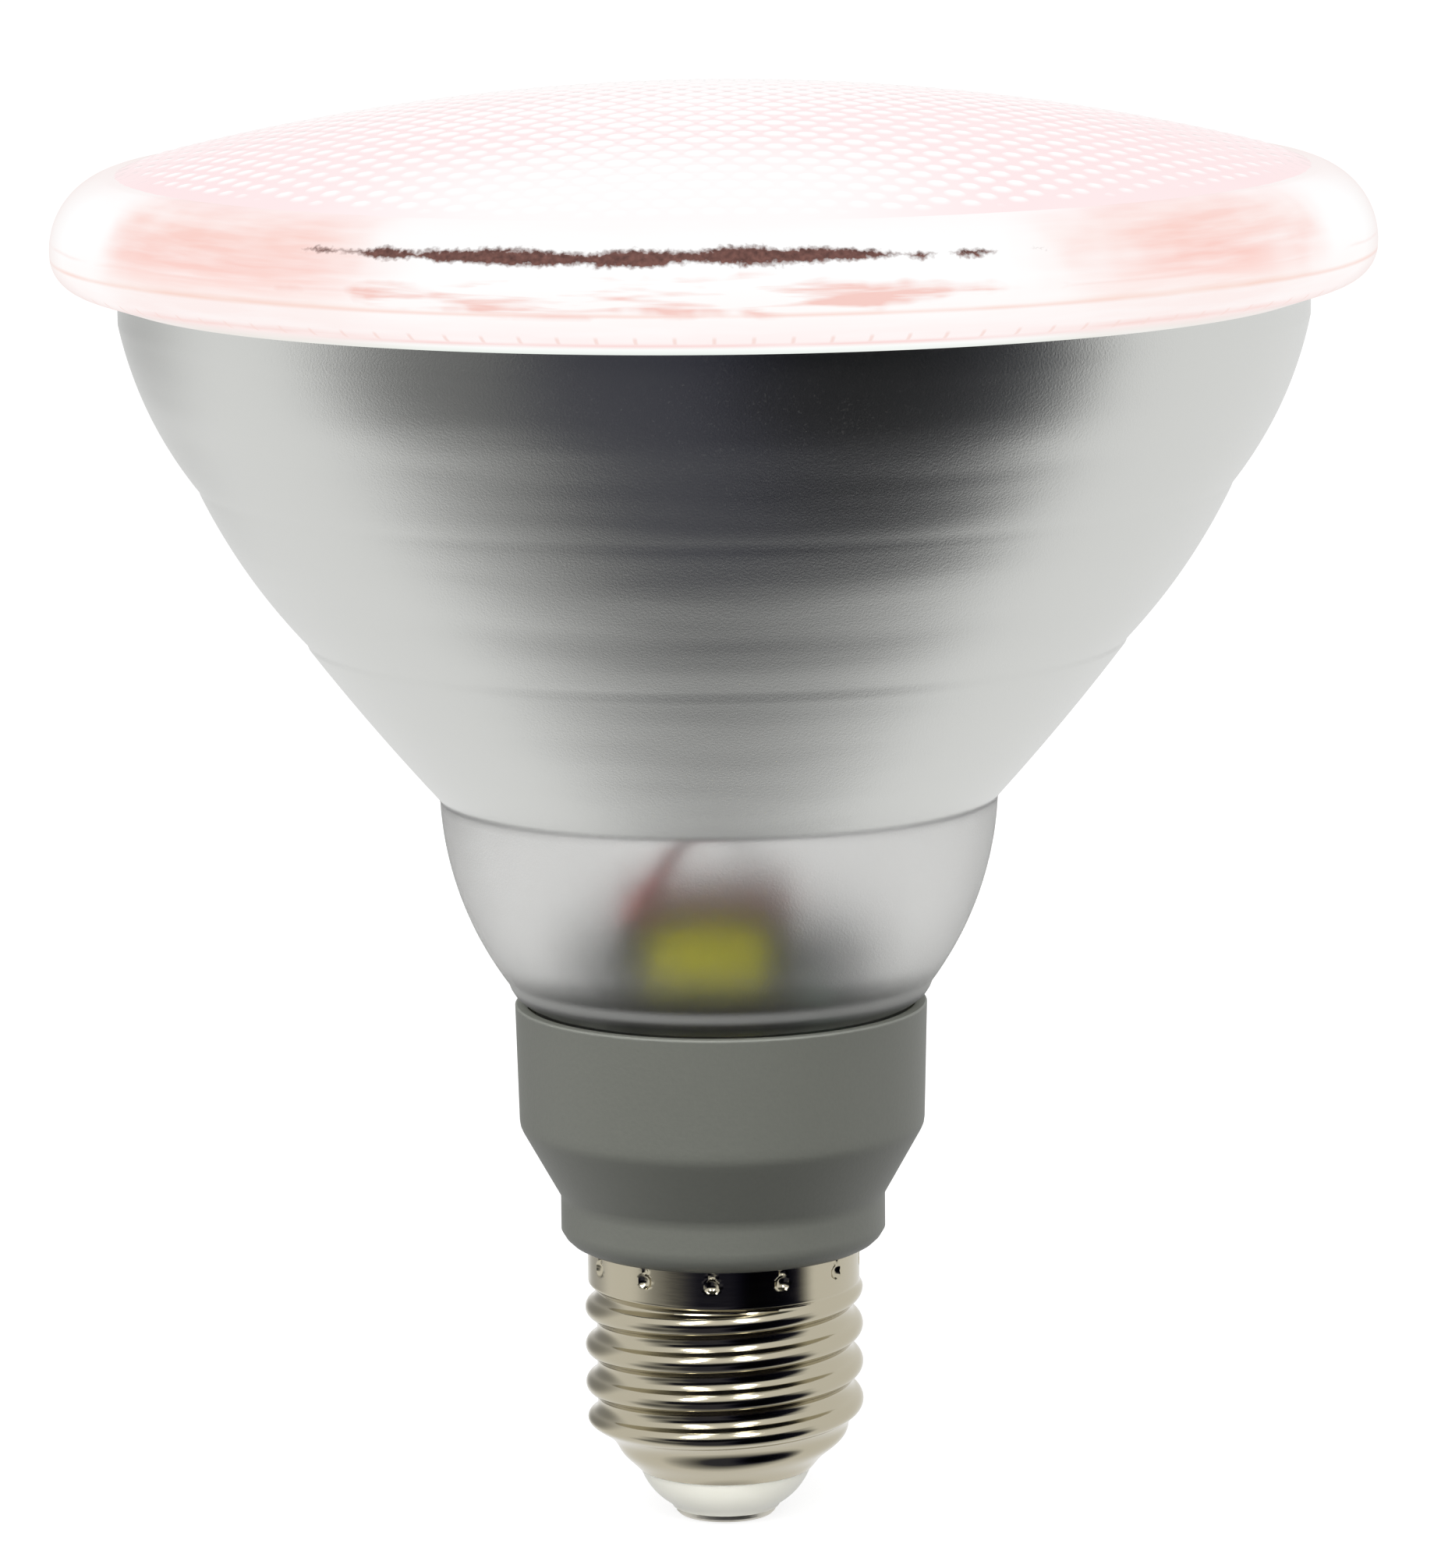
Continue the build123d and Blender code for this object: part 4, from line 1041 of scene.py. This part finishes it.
@dataclass
class RedLead:
    """The red lead from the driver to the diode disc, with the slack loop that shows behind the bowl.

    The route is in millimetres. Its ends are those of the solid that it replaces, and it turns
    near-black below the loop.
    """

    diameter: float = 1.2
    route: Runs = (
        (-9.2, -9.2, 41.9),
        (-9.2, -9.2, 47.0),
        (-9.2, -10.0, 53.0),
        (-9.0, -12.0, 58.0),
        (-7.8, -14.2, 61.4),
        (-5.6, -15.6, 64.2),
        (-3.6, -15.4, 67.0),
        (-2.4, -12.8, 69.0),
        (-1.8, -9.0, 69.4),
        (-1.6, -4.6, 69.3),
        (-1.6, -1.2, 70.6),
        (-1.6, 0.0, 73.2),
        (-1.6, 0.0, 75.5),
    )
    never_along: tuple[float, float, float] = (0.9, 0.1, -0.4)
    sides: int = 16
    steps: int = 8

    def centre_line(self) -> np.ndarray:
        """Points of the spline through the route.

        Between the stations p1 and p2, with neighbours p0 and p3, the point at the share t is half of
        2 p1 + (p2 - p0) t + (2 p0 - 5 p1 + 4 p2 - p3) t^2 + (3 p1 - p0 - 3 p2 + p3) t^3.
        """
        stations = np.array(self.route)
        before = 2 * stations[:1] - stations[1:2]
        beyond = 2 * stations[-1:] - stations[-2:-1]
        padded = np.concatenate([before, stations, beyond])
        p0, p1, p2, p3 = (padded[i : len(padded) - 3 + i, None, :] for i in range(4))
        t = (np.arange(self.steps) / self.steps)[None, :, None]
        square = (2 * p0 - 5 * p1 + 4 * p2 - p3) * t**2
        cube = (3 * p1 - p0 - 3 * p2 + p3) * t**3
        line = (2 * p1 + (p2 - p0) * t + square + cube) / 2
        return np.concatenate([line.reshape(-1, 3), stations[-1:]])

    def build(self) -> bpy.types.Object:
        """Carry a circle along the centre line, square to its tangent, and close both ends."""
        line = self.centre_line()
        along = np.gradient(line, axis=0)
        along /= np.linalg.norm(along, axis=1)[:, None]
        side = np.cross(along, np.array(self.never_along))
        side /= np.linalg.norm(side, axis=1)[:, None]
        other = np.cross(along, side)
        angle = (np.arange(self.sides) * TURN / self.sides)[None, :, None]
        circles = np.cos(angle) * side[:, None] + np.sin(angle) * other[:, None]
        rings = line[:, None] + self.diameter / 2 * circles
        points = np.concatenate([rings.reshape(-1, 3), line[:1], line[-1:]])
        piece = mesh_object("red_lead", points, capped_faces(len(line), self.sides), Shading.CREASED)
        piece.data.materials.append(InnerFinish.RED_SILICONE.finish.build())
        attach(piece, "root")
        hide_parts("led_wire_red")
        return piece


class InnerWorks:
    """The solids that keep their own mesh: the driver, the diode disc, the wires and the contact."""

    def dress(self) -> None:
        """Give each node the material of its finish."""
        for wear in InnerFinish:
            material = wear.finish.build() if wear.nodes else None
            for name in wear.nodes:
                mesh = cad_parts[name].data
                mesh.materials.clear()
                mesh.materials.append(material)
                LOG.info("dressed %s in %s", name, material.name)


@dataclass(frozen=True)
class SoftBox:
    """An oval lamp: where it hangs, the height it aims at on the axis, its size, spread and power.

    Lengths are metres and the spread is in degrees. Mirrored lamps show in metal.
    """

    name: str
    place: tuple[float, float, float]
    aim_z: float
    size: tuple[float, float]
    power: float
    spread: float = 180.0
    mirrored: bool = False

    def turn_to(self, aim: np.ndarray) -> Matrix:
        """Rotation that points the lamp's minus Z along the aim."""
        back = -aim
        helper = np.array([0.0, 1.0, 0.0]) if abs(back[2]) > 0.9 else np.array([0.0, 0.0, 1.0])
        side = np.cross(helper, back)
        side /= np.linalg.norm(side)
        turn = np.eye(4)
        turn[:3, 0], turn[:3, 1], turn[:3, 2] = side, np.cross(back, side), back
        return Matrix(turn.tolist())

    def hang(self) -> None:
        """Add the lamp to the scene."""
        lamp = bpy.data.lights.new(self.name, "AREA")
        lamp.shape = "ELLIPSE"
        lamp.size, lamp.size_y = self.size
        lamp.spread = math.radians(self.spread)
        lamp.energy = self.power
        holder = bpy.data.objects.new(self.name, lamp)
        aim = np.array([0.0, 0.0, self.aim_z]) - np.array(self.place)
        aim /= np.linalg.norm(aim)
        holder.matrix_world = Matrix.Translation(self.place) @ self.turn_to(aim)
        holder.visible_glossy = self.mirrored
        bpy.context.scene.collection.objects.link(holder)


@dataclass(frozen=True)
class DarkCorner:
    """A dark part of the room: its direction, the cosines where it starts and is full, and its level."""

    direction: tuple[float, float, float]
    start: float
    full: float
    level: float


@dataclass
class Studio:
    """Camera, paper floor, soft boxes and a white room that is dark behind the camera.

    Lengths are metres, apart from the sensor's and the floor's, which are millimetres.
    """

    camera_y: float = -0.6902
    camera_z: float = 0.1865
    aim_z: float = 0.0698
    focal_px: float = 9626.0
    image_height_px: float = 2011.0
    image_width_px: float = 1848.0
    roll: float = math.radians(0.57)
    aim_px: float = 922.0
    sensor_mm: float = 36.0
    bright_way: tuple[float, float, float] = (0.0, 1.0, 0.8)
    cool_shade: str = "#9094e8"
    cool_below: float = 0.13
    corners: tuple[DarkCorner, ...] = (
        DarkCorner((-0.78, -0.32, -0.53), 0.9, 1.04, 0.03),
        DarkCorner((0.59, -0.62, -0.53), 0.76, 0.92, 0.03),
        DarkCorner((-0.62, 0.76, 0.15), 0.8, 1.0, 0.36),
    )
    lamps: tuple[SoftBox, ...] = (
        SoftBox("left_box", (-0.39, -0.58, 0.64), 0.06, (0.24, 0.5), 4.4, mirrored=True),
        SoftBox("right_box", (0.21, -0.65, 0.64), 0.06, (0.24, 0.5), 3.6, mirrored=True),
        SoftBox("top_box", (0.0, 0.1, 1.0), 0.06, (0.7, 0.7), 3.0),
        SoftBox("cap_spot", (0.0, -0.15, 0.003), 0.003, (0.02, 0.02), 0.00045, spread=10.0),
    )
    floor_tone: str = "#8f8f8f"
    floor_glow: float = 0.8
    floor_z: float = -0.2
    floor_half_width: float = 4000.0
    floor_ends: tuple[float, float] = (-40.0, 6000.0)

    def place_camera(self) -> None:
        """Stand the camera in front and a little above, rolled as the photograph is."""
        data = bpy.data.cameras.new("camera")
        data.sensor_fit = "VERTICAL"
        data.sensor_height = self.sensor_mm
        data.lens = self.sensor_mm * self.focal_px / self.image_height_px
        data.clip_start = 0.01
        forward = np.array([0.0, -self.camera_y, self.aim_z - self.camera_z])
        forward /= np.linalg.norm(forward)
        side = np.array([1.0, 0.0, 0.0])
        up = np.cross(side, forward)
        right = math.cos(self.roll) * side - math.sin(self.roll) * up
        top = math.sin(self.roll) * side + math.cos(self.roll) * up
        distance = math.hypot(self.camera_y, self.aim_z - self.camera_z)
        slide = (self.image_width_px / 2 - self.aim_px) * distance / self.focal_px
        place = np.array([0.0, self.camera_y, self.camera_z]) + slide * right
        turn = np.eye(4)
        turn[:3, 0], turn[:3, 1], turn[:3, 2], turn[:3, 3] = right, top, -forward, place
        camera = bpy.data.objects.new("camera", data)
        camera.matrix_world = Matrix(turn.tolist())
        bpy.context.scene.collection.objects.link(camera)
        bpy.context.scene.camera = camera

    def shade_room(self, add: Adder, ray: Any) -> Any:
        """Level of the room's light: pale back and top, dim front, a dark front wall and dark corners.

        The level climbs with the ray's share along the bright way. The wall is a band of rays that are
        nearly level and point forward.
        """
        tilt = add("VectorMath", (ray, self.bright_way), "Value", operation="DOT_PRODUCT")
        shade = add("MapRange", (tilt, -1.1, -0.5, 0.07, 0.92))
        axes = add("SeparateXYZ", (ray,), None).outputs
        climb = add("Math", (axes["Z"],), operation="ABSOLUTE")
        nearly_level = add("MapRange", (climb, 0.31, 0.18))
        ahead = add("MapRange", (axes["Y"], -0.2, -0.68, 0.0, 0.97))
        wall = add("Math", (nearly_level, ahead), operation="MULTIPLY")
        clear = add("Math", (1.0, wall), operation="SUBTRACT")
        shade = add("Math", (shade, clear), operation="MULTIPLY")
        for corner in self.corners:
            near = add("VectorMath", (ray, corner.direction), "Value", operation="DOT_PRODUCT")
            dim = add("MapRange", (near, corner.start, corner.full, 1.0, corner.level), **SOFT)
            shade = add("Math", (shade, dim), operation="MULTIPLY")
        return shade

    def light_room(self) -> None:
        """Make the shaded room, white to the camera and cool where it is darkest, and hang the lamps."""
        world = bpy.data.worlds.new("room")
        world.use_nodes = True
        world.node_tree.nodes.clear()
        add = partial(add_node, world.node_tree)
        shade = self.shade_room(add, add("TexCoord", out="Generated"))
        level = add("Mix", {0: add("LightPath", out="Is Camera Ray"), 2: shade, 3: 1.0})
        lit = add("MapRange", (level, 0.0, self.cool_below))
        cool = add("Mix", {0: lit, 6: self.cool_shade, 7: "#ffffff"}, 2, **COLOURS)
        sky = add("Background", {"Color": cool, "Strength": level})
        add("OutputWorld", (sky,), None)
        bpy.context.scene.world = world
        for lamp in self.lamps:
            lamp.hang()

    def lay_floor(self) -> None:
        """Lay a paper floor under and behind the lamp, which glows white to the camera."""
        wide, z = self.floor_half_width, self.floor_z
        front, back = self.floor_ends
        corners = np.array([[-wide, front, z], [wide, front, z], [wide, back, z], [-wide, back, z]])
        floor = mesh_object("paper_floor", corners, np.array([[0, 1, 2, 3]]), Shading.SMOOTH)
        material, add = new_material("white_paper")
        paper = add("BsdfDiffuse", {"Color": self.floor_tone})
        path = add("LightPath", out=None).outputs
        seen = add("Math", (path["Is Camera Ray"], path["Is Transmission Ray"]), operation="MAXIMUM")
        strength = add("Math", (seen, self.floor_glow), operation="MULTIPLY")
        glow = add("Emission", {"Color": "#ffffff", "Strength": strength})
        add("OutputMaterial", (add("AddShader", (paper, glow)),), None)
        floor.data.materials.append(material)
        floor.visible_glossy = False


def main() -> None:
    """Build the lamp's pieces in order, dress the rest and light the room, logging each piece's faces."""
    logging.basicConfig(level=logging.INFO, format="%(name)s: %(message)s")
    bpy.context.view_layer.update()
    lens = PressedLens()
    cap = ScrewCap()
    builders = (
        GlassBody().build,
        lens.build_rim,
        lens.build_lenslets,
        PlasticCollar().build,
        cap.build_shell,
        cap.build_insulator,
        RedLead().build,
    )
    for builder in builders:
        piece = builder()
        LOG.info("built %s with %d faces", piece.name, len(piece.data.polygons))
    InnerWorks().dress()
    studio = Studio()
    studio.place_camera()
    studio.light_room()
    studio.lay_floor()
    bpy.context.scene.view_settings.view_transform = "Standard"


if __name__ == "__main__":
    main()
